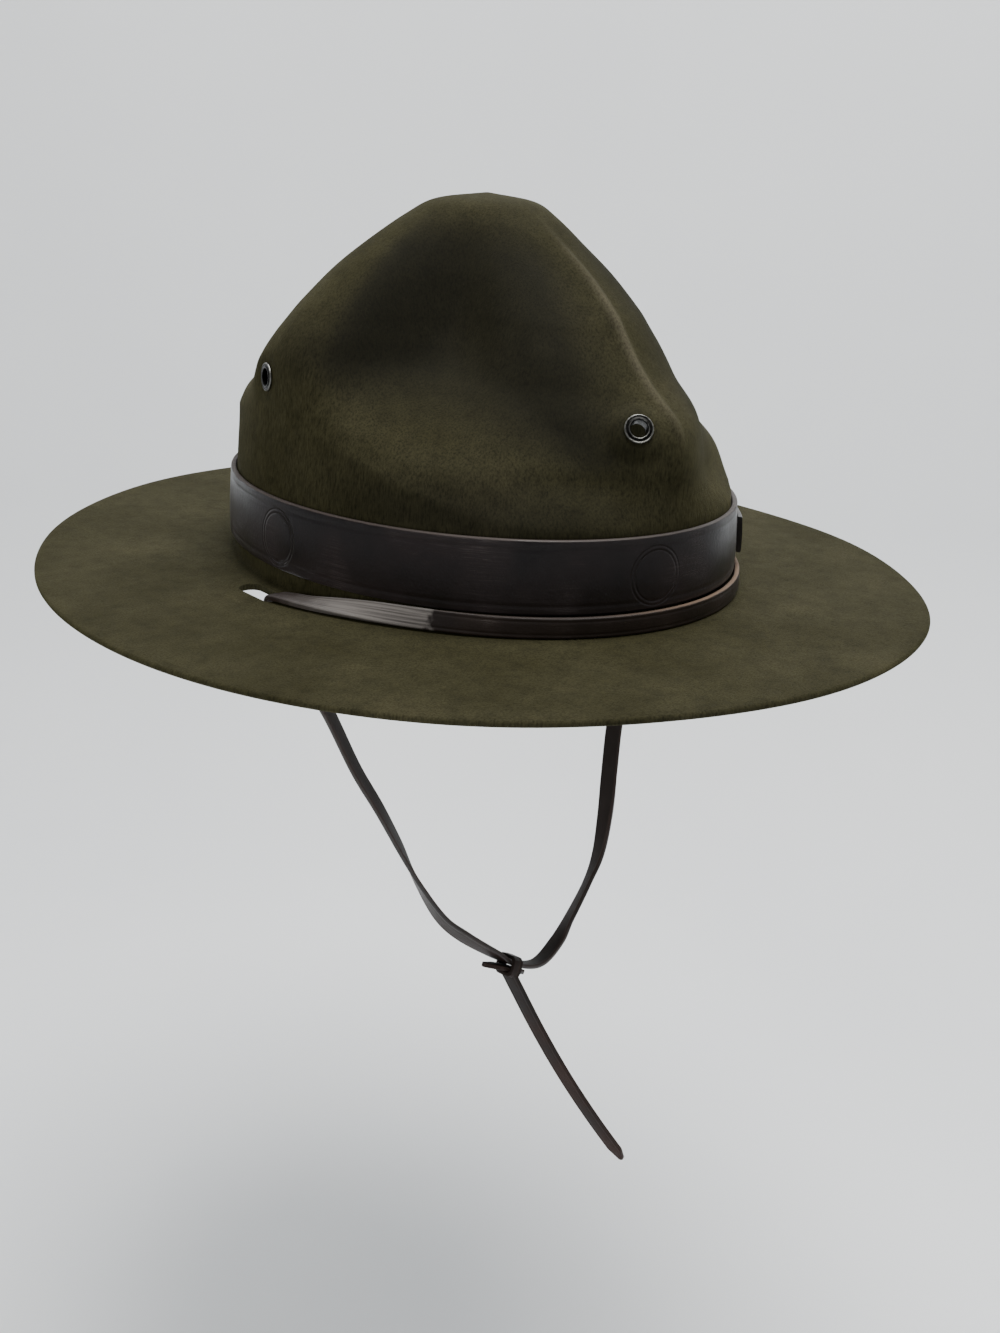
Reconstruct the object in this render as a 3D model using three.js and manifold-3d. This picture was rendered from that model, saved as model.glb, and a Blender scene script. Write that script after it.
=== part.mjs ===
// Campaign hat with a four-dent peaked crown, a flat round brim, a leather band and a chin strap.
// Millimetres. +Z up, -Y to the front of the wearer, +X to the wearer's left.
// The origin is the middle of the head opening, on the brim's mid-plane.
import * as THREE from 'three';
import { mergeVertices } from 'three/addons/utils/BufferGeometryUtils.js';
import Module from 'manifold-3d';

const wasm = await Module();
wasm.setup();

// Felt body
const crownHalfWidth = 87.7;
const crownHalfLength = 104.4;
const crownHeight = 136;
const brimReachSide = 73.5;
const brimReachFront = 73.4;
const brimShiftBack = 1.4;
const brimSaddle = 1.4;
const feltThickness = 2.2;
const breakRadius = 2.5;
const turnsAround = 64;

// Share of the crown's height against shares of the half width and half length at each ridge
const crownSections = [
  { up: 0, side: 1, front: 1, back: 1 },
  { up: 0.12, side: 1, front: 1, back: 1 },
  { up: 0.28, side: 0.985, front: 0.99, back: 0.99 },
  { up: 0.4, side: 0.962, front: 1.015, back: 0.985 },
  { up: 0.49, side: 0.95, front: 0.98, back: 0.955 },
  { up: 0.573, side: 0.95, front: 0.85, back: 0.885 },
  { up: 0.637, side: 0.913, front: 0.76, back: 0.815 },
  { up: 0.69, side: 0.85, front: 0.7, back: 0.755 },
  { up: 0.733, side: 0.785, front: 0.65, back: 0.7 },
  { up: 0.81, side: 0.65, front: 0.53, back: 0.575 },
  { up: 0.88, side: 0.5, front: 0.395, back: 0.435 },
  { up: 0.94, side: 0.352, front: 0.275, back: 0.305 },
  { up: 0.98, side: 0.218, front: 0.163, back: 0.18 },
  { up: 1, side: 0, front: 0, back: 0 },
];

// The four dents: rise from a dent's foot to the top, and share of the radius pushed in
const dentSections = [
  { rise: 0, depth: 0 },
  { rise: 0.1, depth: 0.05 },
  { rise: 0.2, depth: 0.17 },
  { rise: 0.3, depth: 0.32 },
  { rise: 0.38, depth: 0.405 },
  { rise: 0.46, depth: 0.435 },
  { rise: 0.55, depth: 0.43 },
  { rise: 0.66, depth: 0.39 },
  { rise: 0.77, depth: 0.32 },
  { rise: 0.88, depth: 0.2 },
  { rise: 0.95, depth: 0.085 },
  { rise: 1, depth: 0 },
];
const browRise = 0.38;

// Way from a side ridge (0) to an end ridge (1), and shares of the crown's height at which a dent
// begins (foot) and at which its ledge turns up into its wall (brow), in front and behind
const dentLines = [
  { way: 0, frontFoot: 0.444, frontBrow: 0.61, backFoot: 0.444, backBrow: 0.65 },
  { way: 0.15, frontFoot: 0.42, frontBrow: 0.6, backFoot: 0.43, backBrow: 0.65 },
  { way: 0.3, frontFoot: 0.37, frontBrow: 0.59, backFoot: 0.42, backBrow: 0.66 },
  { way: 0.46, frontFoot: 0.31, frontBrow: 0.59, backFoot: 0.41, backBrow: 0.66 },
  { way: 0.6, frontFoot: 0.275, frontBrow: 0.56, backFoot: 0.39, backBrow: 0.64 },
  { way: 0.7, frontFoot: 0.265, frontBrow: 0.5, backFoot: 0.375, backBrow: 0.62 },
  { way: 0.8, frontFoot: 0.26, frontBrow: 0.44, backFoot: 0.37, backBrow: 0.6 },
  { way: 1, frontFoot: 0.26, frontBrow: 0.42, backFoot: 0.37, backBrow: 0.58 },
];

// The same way across a dent, and share of the full depth there, in front and behind
const foldSections = [
  { way: 0, front: 0, back: 0 },
  { way: 0.06, front: 0.03, back: 0.03 },
  { way: 0.13, front: 0.18, back: 0.1 },
  { way: 0.22, front: 0.62, back: 0.42 },
  { way: 0.3, front: 0.9, back: 0.78 },
  { way: 0.38, front: 1, back: 1 },
  { way: 0.5, front: 0.86, back: 0.88 },
  { way: 0.6, front: 0.57, back: 0.57 },
  { way: 0.7, front: 0.32, back: 0.34 },
  { way: 0.8, front: 0.18, back: 0.16 },
  { way: 0.9, front: 0.09, back: 0.06 },
  { way: 1, front: 0, back: 0 },
];
const sideRidgeShift = THREE.MathUtils.degToRad(6.3);
const pinchDepth = 8;
const pinchTurn = THREE.MathUtils.degToRad(24);
const pinchWide = THREE.MathUtils.degToRad(18);
// Shares of the crown's height between which the pinch beside the front ridge comes and goes
const pinchStarts = 0.25;
const pinchFull = 0.37;
const pinchFades = 0.45;
const pinchEnds = 0.66;

// Vent eyelets: turn from the front ridge and height on the crown
const eyeletFrontHeight = 66.5;
const eyeletSideHeight = 72.5;
const eyeletSpots = [
  { name: 'eyelet_front', turn: -9, height: eyeletFrontHeight },
  { name: 'eyelet_right', turn: -101.5, height: eyeletSideHeight },
  { name: 'eyelet_back', turn: 171, height: eyeletFrontHeight },
  { name: 'eyelet_left', turn: 87, height: eyeletSideHeight },
];
const eyeletFlangeRadius = 4.9;
const eyeletBackRadius = 4.4;
const eyeletBarrelRadius = 3.5;
const eyeletHoleRadius = 2.9;
const eyeletMetal = 0.5;
const eyeletCrown = 0.9;
const fitGap = 0.35;

// Leather band
const bandBottom = 8.7;
const bandHeight = 24.7;
const bandThickness = 2;
const keeperBottom = 13.5;
const keeperHeight = 13.5;
const keeperThickness = 1.8;
const keeperStartTurn = 36;
const keeperEndTurn = 47;

// Chin strap
const strapWidth = 7;
const strapThickness = 1.8;
const slotSide = 96.5;
const slotWidth = 8.5;
const slotLength = 22;
const slotFront = -8.5;
const slotCorner = 2.5;
const slotBend = 3;
const chinForward = 47.5;
const chinDrop = 163.5;
const knotGap = 0.6;
const wrapThickness = 1.5;
const wrapLength = 5;
const tailHang = 2.4;
const tailLength = 107;
const tailTaper = 9;
const tailBow = 2.5;
const endLength = 21;
const endCurl = 1.5;

// The strap round the crown to the slot: turn from the front ridge, distance off the wall as a
// share of the strap's width, and lean of its face from upright (0) to flat on the brim (90)
const strapOnCrown = [
  { turn: 0, off: 0.543, lean: 0 },
  { turn: 13, off: 0.543, lean: 0 },
  { turn: 26, off: 0.543, lean: 0 },
  { turn: 39, off: 0.543, lean: 4 },
  { turn: 51, off: 0.557, lean: 14 },
  { turn: 62, off: 0.614, lean: 32 },
  { turn: 71, off: 0.757, lean: 56 },
  { turn: 79, off: 1.014, lean: 78 },
];

// From the slot to the chin: shares of the slot's side, the chin's forward reach and the drop,
// and how far the grain side is turned from outward to backward
const strapBelow = [
  { side: 1, forward: 0.116, down: 0.02, turn: 90 },
  { side: 0.962, forward: 0.14, down: 0.08, turn: 78 },
  { side: 0.886, forward: 0.19, down: 0.171, turn: 62 },
  { side: 0.802, forward: 0.248, down: 0.281, turn: 52 },
  { side: 0.727, forward: 0.385, down: 0.413, turn: 49 },
  { side: 0.653, forward: 0.484, down: 0.511, turn: 45 },
  { side: 0.593, forward: 0.581, down: 0.603, turn: 38 },
  { side: 0.526, forward: 0.693, down: 0.711, turn: 26 },
  { side: 0.444, forward: 0.792, down: 0.807, turn: 14 },
  { side: 0.353, forward: 0.853, down: 0.865, turn: 6 },
  { side: 0.213, forward: 0.924, down: 0.935, turn: 0 },
  { side: 0.137, forward: 0.96, down: 0.971, turn: 0 },
  { side: 0, forward: 1, down: 1, turn: 0 },
];

const feltColour = '#48432f';
const bandColour = '#2a2727';
const strapColour = '#33251f';
const metalColour = '#8f8f8d';

function material(colour, roughness, metalness) {
  return new THREE.MeshStandardMaterial({ color: colour, roughness, metalness });
}

// Smooth curve through a table's column, read at any place along its key
function smoothColumn(keys, values, place) {
  const last = keys.length - 1;
  let row = 0;
  while (row < last - 1 && place > keys[row + 1]) {
    row += 1;
  }
  const rate = (index) => (values[index + 1] - values[index]) / (keys[index + 1] - keys[index]);
  const slope = (index) => {
    if (index === 0) {
      return rate(0);
    }
    if (index === last) {
      return rate(last - 1);
    }
    const before = keys[index] - keys[index - 1];
    const after = keys[index + 1] - keys[index];
    return (rate(index - 1) * after + rate(index) * before) / (before + after);
  };
  const span = keys[row + 1] - keys[row];
  const t = THREE.MathUtils.clamp((place - keys[row]) / span, 0, 1);
  const t2 = t * t;
  const t3 = t2 * t;
  return (2 * t3 - 3 * t2 + 1) * values[row]
    + (t3 - 2 * t2 + t) * span * slope(row)
    + (3 * t2 - 2 * t3) * values[row + 1]
    + (t3 - t2) * span * slope(row + 1);
}

const sectionKeys = crownSections.map((row, index) => index / (crownSections.length - 1));
const sectionColumn = (name, station) => (
  smoothColumn(sectionKeys, crownSections.map((row) => row[name]), station)
);
const dentDepth = (rise) => (
  smoothColumn(dentSections.map((row) => row.rise), dentSections.map((row) => row.depth), rise)
);
const wayColumn = (table, name, way) => (
  smoothColumn(table.map((row) => row.way), table.map((row) => row[name]), way)
);

// Smallest turn between two directions round the crown
function turnBetween(one, other) {
  return Math.abs(THREE.MathUtils.euclideanModulo(one - other + Math.PI, 2 * Math.PI) - Math.PI);
}

// Outer face of the crown at an angle round its oval and a station from foot (0) to top (1)
function crownPoint(angle, station) {
  const up = sectionColumn('up', station);
  const fromFront = turnBetween(angle, 1.5 * Math.PI);
  const sideTurn = Math.PI / 2 + sideRidgeShift;
  const inFront = fromFront <= sideTurn;
  const toEnd = inFront ? 1 - fromFront / sideTurn : (fromFront - sideTurn) / (Math.PI - sideTurn);
  const ease = THREE.MathUtils.smoothstep(toEnd, 0, 1);
  const end = sectionColumn(inFront ? 'front' : 'back', station);
  const side = sectionColumn('side', station);
  const foot = wayColumn(dentLines, inFront ? 'frontFoot' : 'backFoot', toEnd);
  const brow = wayColumn(dentLines, inFront ? 'frontBrow' : 'backBrow', toEnd);
  const fold = wayColumn(foldSections, inFront ? 'front' : 'back', toEnd);
  const rise = up < brow
    ? browRise * THREE.MathUtils.clamp((up - foot) / (brow - foot), 0, 1)
    : browRise + (1 - browRise) * (up - brow) / (1 - brow);
  const share = (side + (end - side) * ease) * (1 - dentDepth(rise) * fold);
  const x = crownHalfWidth * Math.cos(angle) * share;
  const y = crownHalfLength * Math.sin(angle) * share;
  const tall = THREE.MathUtils.smoothstep(up, pinchStarts, pinchFull)
    * (1 - THREE.MathUtils.smoothstep(up, pinchFades, pinchEnds));
  let pinch = 0;
  for (const centre of [1.5 * Math.PI - pinchTurn, 1.5 * Math.PI + pinchTurn]) {
    pinch += pinchDepth * tall * Math.exp(-((turnBetween(angle, centre) / pinchWide) ** 2));
  }
  const kept = 1 - pinch / Math.max(Math.hypot(x, y), pinchDepth * 3);
  return new THREE.Vector3(x * kept, y * kept, crownHeight * up);
}

// Station whose height is the given one
function stationAt(height) {
  let low = 0;
  let high = 1;
  for (let step = 0; step < 40; step += 1) {
    const middle = (low + high) / 2;
    if (crownHeight * sectionColumn('up', middle) < height) {
      low = middle;
    } else {
      high = middle;
    }
  }
  return (low + high) / 2;
}

// Top face of the brim from the crown's break (0) to its edge (1)
function brimPoint(angle, share) {
  const halfWidth = crownHalfWidth + breakRadius + (brimReachSide - breakRadius) * share;
  const halfLength = crownHalfLength + breakRadius + (brimReachFront - breakRadius) * share;
  const sag = -brimSaddle * Math.cos(2 * angle) * share;
  return new THREE.Vector3(
    halfWidth * Math.cos(angle),
    halfLength * Math.sin(angle) + brimShiftBack * share,
    feltThickness / 2 + sag,
  );
}

// Rounded break between brim and crown, from flat (0) to upright (1)
function breakPoint(angle, share) {
  const bend = share * Math.PI / 2;
  const out = breakRadius * (1 - Math.sin(bend));
  return new THREE.Vector3(
    (crownHalfWidth + out) * Math.cos(angle),
    (crownHalfLength + out) * Math.sin(angle),
    feltThickness / 2 + breakRadius * (1 - Math.cos(bend)),
  );
}

// Turn every face outward
function facedOut(geometry) {
  const place = geometry.getAttribute('position');
  const order = geometry.getIndex();
  const corners = [new THREE.Vector3(), new THREE.Vector3(), new THREE.Vector3()];
  let volume = 0;
  for (let face = 0; face < order.count; face += 3) {
    corners.forEach((corner, index) => corner.fromBufferAttribute(place, order.getX(face + index)));
    volume += corners[0].dot(corners[1].clone().cross(corners[2])) / 6;
  }
  if (volume < 0) {
    for (let face = 0; face < order.count; face += 3) {
      const second = order.getX(face + 1);
      order.setX(face + 1, order.getX(face + 2));
      order.setX(face + 2, second);
    }
  }
  geometry.computeVertexNormals();
  return geometry;
}

// Closed solid through rings of points; the two end rings are closed to the given end points,
// or the last ring joins the first
function ringSolid(rings, ends) {
  const count = rings[0].length;
  const points = rings.flat();
  const faces = [];
  const steps = ends ? rings.length - 1 : rings.length;
  for (let step = 0; step < steps; step += 1) {
    const here = step * count;
    const next = ((step + 1) % rings.length) * count;
    for (let corner = 0; corner < count; corner += 1) {
      const after = (corner + 1) % count;
      faces.push(here + corner, here + after, next + after);
      faces.push(here + corner, next + after, next + corner);
    }
  }
  if (ends) {
    const lastRing = (rings.length - 1) * count;
    const first = points.push(ends[0]) - 1;
    const last = points.push(ends[1]) - 1;
    for (let corner = 0; corner < count; corner += 1) {
      const after = (corner + 1) % count;
      faces.push(first, after, corner);
      faces.push(last, lastRing + corner, lastRing + after);
    }
  }
  const geometry = new THREE.BufferGeometry();
  const positions = new Float32Array(points.flatMap((point) => point.toArray()));
  geometry.setAttribute('position', new THREE.BufferAttribute(positions, 3));
  geometry.setIndex(faces);
  return facedOut(geometry);
}

function toSolid(geometry) {
  const bare = geometry.clone();
  bare.deleteAttribute('normal');
  bare.deleteAttribute('uv');
  const merged = mergeVertices(bare, 1e-4);
  return new wasm.Manifold(new wasm.Mesh({
    numProp: 3,
    vertProperties: new Float32Array(merged.getAttribute('position').array),
    triVerts: new Uint32Array(merged.getIndex().array),
  }));
}

function fromSolid(solid) {
  const mesh = solid.getMesh();
  const geometry = new THREE.BufferGeometry();
  geometry.setAttribute('position', new THREE.BufferAttribute(mesh.vertProperties, 3));
  geometry.setIndex(new THREE.BufferAttribute(mesh.triVerts, 1));
  geometry.computeVertexNormals();
  return geometry;
}

const hat = new THREE.Group();

function addPiece(name, geometry, finish) {
  const piece = new THREE.Mesh(geometry, finish);
  piece.name = name;
  hat.add(piece);
  return piece;
}

// Felt body: an outer skin from brim edge to top, and the same skin set in by the felt's thickness
const angles = Array.from({ length: turnsAround }, (unused, index) => (
  (index / turnsAround) * 2 * Math.PI
));
const firstCrownStation = stationAt(feltThickness / 2 + breakRadius);
const crownRows = 19;
const skinRows = [
  ...[1, 0.88, 0.6, 0.32, 0.12, 0].map((share) => (angle) => brimPoint(angle, share)),
  ...[0.4, 0.75].map((share) => (angle) => breakPoint(angle, share)),
  ...Array.from({ length: crownRows }, (unused, index) => {
    const station = firstCrownStation + (0.985 - firstCrownStation) * (index / (crownRows - 1));
    return (angle) => crownPoint(angle, station);
  }),
];
const outerSkin = skinRows.map((row) => angles.map(row));
const top = new THREE.Vector3(0, 0, crownHeight);

// Outward direction of the skin at a grid point
function skinNormal(row, column) {
  const ahead = outerSkin[row][(column + 1) % turnsAround];
  const behind = outerSkin[row][(column + turnsAround - 1) % turnsAround];
  const above = outerSkin[Math.min(row + 1, outerSkin.length - 1)][column];
  const below = outerSkin[Math.max(row - 1, 0)][column];
  return ahead.clone().sub(behind).cross(above.clone().sub(below)).normalize();
}

const innerSkin = outerSkin.map((ring, row) => (
  ring.map((point, column) => (
    point.clone().addScaledVector(skinNormal(row, column), -feltThickness)
  ))
));
const edgeRing = outerSkin[0].map((point, column) => {
  const angle = angles[column];
  const outward = new THREE.Vector3(Math.cos(angle), Math.sin(angle), 0);
  return point.clone()
    .addScaledVector(skinNormal(0, column), -feltThickness / 2)
    .addScaledVector(outward, feltThickness / 2);
});
const innerKept = innerSkin.filter((ring, row) => row < 8 || row % 2 === 0);
const feltRings = [...outerSkin.slice().reverse(), edgeRing, ...innerKept];
const underTop = new THREE.Vector3(0, 0, crownHeight - feltThickness);
let felt = toSolid(ringSolid(feltRings, [top, underTop]));

// Strap slots through the brim, one each side
for (const side of [-1, 1]) {
  const slotShape = new THREE.Shape();
  const halfWide = slotWidth / 2;
  slotShape.moveTo(-halfWide + slotCorner, slotFront);
  slotShape.lineTo(halfWide - slotCorner, slotFront);
  slotShape.quadraticCurveTo(halfWide, slotFront, halfWide, slotFront + slotCorner);
  slotShape.lineTo(halfWide, slotFront + slotLength - halfWide);
  slotShape.absarc(0, slotFront + slotLength - halfWide, halfWide, 0, Math.PI, false);
  slotShape.lineTo(-halfWide, slotFront + slotCorner);
  slotShape.quadraticCurveTo(-halfWide, slotFront, -halfWide + slotCorner, slotFront);
  const cutter = new THREE.ExtrudeGeometry(slotShape, {
    depth: 6 * feltThickness,
    bevelEnabled: false,
    curveSegments: 8,
  });
  cutter.translate(side * slotSide, 0, -3 * feltThickness);
  felt = felt.subtract(toSolid(cutter));
}

// Vent eyelets and their holes
const metal = material(metalColour, 0.35, 0.9);
const upward = new THREE.Vector3(0, 1, 0);
for (const spot of eyeletSpots) {
  const angle = 1.5 * Math.PI + THREE.MathUtils.degToRad(spot.turn);
  const station = stationAt(spot.height);
  const centre = crownPoint(angle, station);
  const reach = eyeletFlangeRadius / crownHalfLength;
  const round = crownPoint(angle + reach, station).sub(crownPoint(angle - reach, station));
  const high = crownPoint(angle, stationAt(spot.height + eyeletFlangeRadius))
    .sub(crownPoint(angle, stationAt(spot.height - eyeletFlangeRadius)));
  const outward = round.cross(high).normalize();
  const facing = new THREE.Quaternion().setFromUnitVectors(upward, outward);

  const outside = fitGap;
  const inside = -feltThickness - 2 * fitGap;
  const pressDepth = 3;
  // The barrel's hole, and the felt pressed flat under the outer and the inner flange
  const cuts = [
    { radius: eyeletBarrelRadius, low: -4 * feltThickness, high: 4 * feltThickness },
    { radius: eyeletFlangeRadius, low: outside - fitGap, high: outside + pressDepth },
    { radius: eyeletBackRadius, low: inside - pressDepth, high: inside + fitGap },
  ];
  for (const cut of cuts) {
    const radius = cut.radius + fitGap;
    const drill = new THREE.CylinderGeometry(radius, radius, cut.high - cut.low, 24);
    drill.translate(0, (cut.high + cut.low) / 2, 0);
    drill.applyQuaternion(facing);
    drill.translate(centre.x, centre.y, centre.z);
    felt = felt.subtract(toSolid(drill));
  }

  const profile = [
    [eyeletHoleRadius, inside - eyeletMetal],
    [eyeletHoleRadius, outside + eyeletMetal],
    [eyeletBarrelRadius, outside + eyeletCrown],
    [eyeletFlangeRadius - eyeletMetal, outside + eyeletCrown],
    [eyeletFlangeRadius, outside + eyeletMetal],
    [eyeletFlangeRadius, outside],
    [eyeletBarrelRadius, outside],
    [eyeletBarrelRadius, inside],
    [eyeletBackRadius, inside],
    [eyeletBackRadius, inside - eyeletMetal],
    [eyeletHoleRadius, inside - eyeletMetal],
  ].map(([radius, height]) => new THREE.Vector2(radius, height));
  const eyelet = addPiece(spot.name, closedLathe(profile, 20), metal);
  eyelet.position.copy(centre);
  eyelet.quaternion.copy(facing);
}

function closedLathe(profile, segments) {
  const turned = new THREE.LatheGeometry(profile, segments);
  turned.deleteAttribute('normal');
  turned.deleteAttribute('uv');
  return facedOut(mergeVertices(turned, 1e-4));
}

addPiece('felt_body', fromSolid(felt), material(feltColour, 0.95, 0));

// Leather band, upright against the crown's foot, a rectangular section led round the oval
const leather = material(bandColour, 0.5, 0);
function outFrom(angle, height, distance) {
  const point = crownPoint(angle, stationAt(height));
  const outward = new THREE.Vector3(
    Math.cos(angle) / crownHalfWidth,
    Math.sin(angle) / crownHalfLength,
    0,
  ).normalize();
  return point.addScaledVector(outward, distance);
}
const bandTop = bandBottom + bandHeight;
const bandRings = angles.map((angle) => [
  outFrom(angle, bandBottom, fitGap),
  outFrom(angle, bandBottom, fitGap + bandThickness),
  outFrom(angle, bandBottom + bandHeight / 2, fitGap + bandThickness),
  outFrom(angle, bandTop, fitGap + bandThickness),
  outFrom(angle, bandTop, fitGap),
  outFrom(angle, bandBottom + bandHeight / 2, fitGap),
]);
addPiece('hat_band', ringSolid(bandRings), leather);

// Keeper that lies over the band's joint
const keeperInside = bandThickness + 2 * fitGap;
const keeperTurns = Array.from({ length: 6 }, (unused, index) => (
  1.5 * Math.PI
    + THREE.MathUtils.degToRad(keeperStartTurn + (keeperEndTurn - keeperStartTurn) * (index / 5))
));
const keeperRings = keeperTurns.map((angle) => [
  outFrom(angle, keeperBottom, keeperInside),
  outFrom(angle, keeperBottom, keeperInside + keeperThickness),
  outFrom(angle, keeperBottom + keeperHeight, keeperInside + keeperThickness),
  outFrom(angle, keeperBottom + keeperHeight, keeperInside),
]);
const middleOf = (ring) => (
  ring.reduce((sum, point) => sum.add(point), new THREE.Vector3()).divideScalar(ring.length)
);
addPiece('band_keeper', ringSolid(keeperRings, [middleOf(keeperRings[0]), middleOf(keeperRings[5])]),
  leather);

// Flat strap: a rectangular section led along a smooth line, its grain side facing a given way
function strapSolid(stations, joined, steps, widthAt, from = 0, to = 1) {
  const line = new THREE.CatmullRomCurve3(stations.map((row) => row.point), joined);
  const faces = new THREE.CatmullRomCurve3(stations.map((row) => row.face), joined);
  const rings = [];
  const count = joined ? steps : steps + 1;
  for (let step = 0; step < count; step += 1) {
    const share = from + (to - from) * (step / steps);
    const point = line.getPoint(share);
    const along = line.getTangent(share);
    const face = faces.getPoint(share);
    face.addScaledVector(along, -face.dot(along)).normalize();
    const across = along.clone().cross(face).normalize();
    const half = widthAt(step / steps) / 2;
    const thick = strapThickness / 2;
    rings.push([[-half, -thick], [half, -thick], [half, thick], [-half, thick]].map(([w, t]) => (
      point.clone().addScaledVector(across, w).addScaledVector(face, t)
    )));
  }
  return joined
    ? ringSolid(rings)
    : ringSolid(rings, [middleOf(rings[0]), middleOf(rings[rings.length - 1])]);
}

// Stations of the strap's right half, from the front of the crown through the slot to the chin
function leanedFace(outward, lean) {
  const angle = THREE.MathUtils.degToRad(lean);
  return outward.clone().multiplyScalar(Math.cos(angle)).setZ(Math.sin(angle));
}
function leanedHeight(lean) {
  const angle = THREE.MathUtils.degToRad(lean);
  const reach = (strapWidth * Math.cos(angle) + strapThickness * Math.sin(angle)) / 2;
  return feltThickness / 2 + fitGap + reach;
}
const rightHalf = strapOnCrown.map((row) => {
  const angle = 1.5 * Math.PI - THREE.MathUtils.degToRad(row.turn);
  const outward = new THREE.Vector3(
    Math.cos(angle) / crownHalfWidth,
    Math.sin(angle) / crownHalfLength,
    0,
  ).normalize();
  const point = new THREE.Vector3(
    crownHalfWidth * Math.cos(angle),
    crownHalfLength * Math.sin(angle),
    leanedHeight(row.lean),
  ).addScaledVector(outward, strapWidth * row.off);
  return { point, face: leanedFace(outward, row.lean) };
});
const flatHeight = leanedHeight(90);
for (const bend of [0, 45, 80]) {
  const angle = THREE.MathUtils.degToRad(bend);
  rightHalf.push({
    point: new THREE.Vector3(
      -slotSide,
      slotFront + fitGap + slotBend * Math.sin(angle),
      flatHeight - slotBend * (1 - Math.cos(angle)),
    ),
    face: new THREE.Vector3(0, Math.sin(angle), Math.cos(angle)),
  });
}
const headMiddle = new THREE.Vector3(0, -chinForward / 2, -chinDrop / 3);
const belowPoints = strapBelow.map((row) => new THREE.Vector3(
  -slotSide * row.side,
  -chinForward * row.forward,
  -chinDrop * row.down,
));
strapBelow.forEach((row, index) => {
  const point = belowPoints[index];
  const before = belowPoints[Math.max(index - 1, 0)];
  const after = belowPoints[index + 1] ?? new THREE.Vector3(-before.x, before.y, before.z);
  const along = after.clone().sub(before).normalize();
  const outward = point.clone().sub(headMiddle);
  outward.addScaledVector(along, -outward.dot(along)).normalize();
  const backward = outward.clone().cross(along);
  if (backward.y < 0) {
    backward.negate();
  }
  const angle = THREE.MathUtils.degToRad(row.turn);
  rightHalf.push({
    point,
    face: outward.multiplyScalar(Math.cos(angle)).addScaledVector(backward, Math.sin(angle)),
  });
});
const mirrored = (vector) => new THREE.Vector3(-vector.x, vector.y, vector.z);
const leftHalf = rightHalf.slice(1, -1).reverse().map((row) => (
  { point: mirrored(row.point), face: mirrored(row.face) }
));
const strapStations = [...rightHalf, ...leftHalf];
const strapLeather = material(strapColour, 0.55, 0);
addPiece('chin_strap', strapSolid(strapStations, true, 160, () => strapWidth), strapLeather);

// The knot: the strap's other end doubled under it, a wrap round both, and the free tail
const knotStation = rightHalf[rightHalf.length - 2];
const knotAlong = rightHalf[rightHalf.length - 1].point.clone()
  .sub(rightHalf[rightHalf.length - 3].point).normalize();
const knotFace = knotStation.face.clone();
knotFace.addScaledVector(knotAlong, -knotFace.dot(knotAlong)).normalize();
const knotAcross = knotAlong.clone().cross(knotFace).normalize();
const layerStep = strapThickness + 2 * fitGap;
const endStations = [-0.62, -0.2, 0.1, 0.38].map((share) => ({
  point: knotStation.point.clone()
    .addScaledVector(knotAlong, endLength * share)
    .addScaledVector(knotFace, layerStep + endCurl * share * share),
  face: knotFace.clone(),
}));
const pointed = (share) => strapWidth * Math.min(1, 0.35 + 3 * Math.min(share, 1 - share));
addPiece('strap_end', strapSolid(endStations, false, 10, pointed), strapLeather);

const wrapHalfWide = strapWidth / 2 + knotGap;
const wrapLow = strapThickness / 2 + knotGap;
const wrapHigh = layerStep + strapThickness / 2 + knotGap;
const wrapRing = (grow, along) => [
  [-wrapHalfWide - grow, -wrapLow - grow],
  [wrapHalfWide + grow, -wrapLow - grow],
  [wrapHalfWide + grow, wrapHigh + grow],
  [-wrapHalfWide - grow, wrapHigh + grow],
].map(([w, t]) => (
  knotStation.point.clone()
    .addScaledVector(knotAcross, w)
    .addScaledVector(knotFace, t)
    .addScaledVector(knotAlong, along)
));
const wrapCorners = [
  wrapRing(0, -wrapLength / 2),
  wrapRing(wrapThickness, -wrapLength / 2),
  wrapRing(wrapThickness, wrapLength / 2),
  wrapRing(0, wrapLength / 2),
];
const wrapSections = [0, 1, 2, 3].map((corner) => wrapCorners.map((ring) => ring[corner]));
addPiece('strap_knot', ringSolid(wrapSections), strapLeather);

const tailTop = knotStation.point.clone()
  .addScaledVector(knotFace, wrapHigh + wrapThickness + tailHang);
const tailTip = new THREE.Vector3(0.42, -0.3, -0.86).normalize();
const tailFace = new THREE.Vector3(-0.82, -0.5, -0.2).normalize();
const tailStations = [0, 0.25, 0.5, 0.75, 1].map((share) => ({
  point: tailTop.clone()
    .addScaledVector(tailTip, tailLength * share)
    .addScaledVector(tailFace, tailBow * Math.sin(share * Math.PI)),
  face: tailFace.clone(),
}));
const tailWidth = (share) => (
  strapWidth * Math.min(1, 0.3 + ((1 - share) * tailLength) / tailTaper)
);
addPiece('strap_tail', strapSolid(tailStations, false, 22, tailWidth), strapLeather);

export default hat;
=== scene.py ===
# %% [markdown]
# # A campaign hat, piece by piece
# The hat is one blocked felt shell with a leather band, four vent eyelets and a chin strap tied in
# a loop. The solids of each piece are already there, in metres, +Z up, with the wearer's front
# towards -Y. This lesson dresses them: finer meshes from the same named sizes, and materials made
# of nodes.

import math

import bmesh
import bpy
import numpy as np
from mathutils import Matrix, Vector


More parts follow.
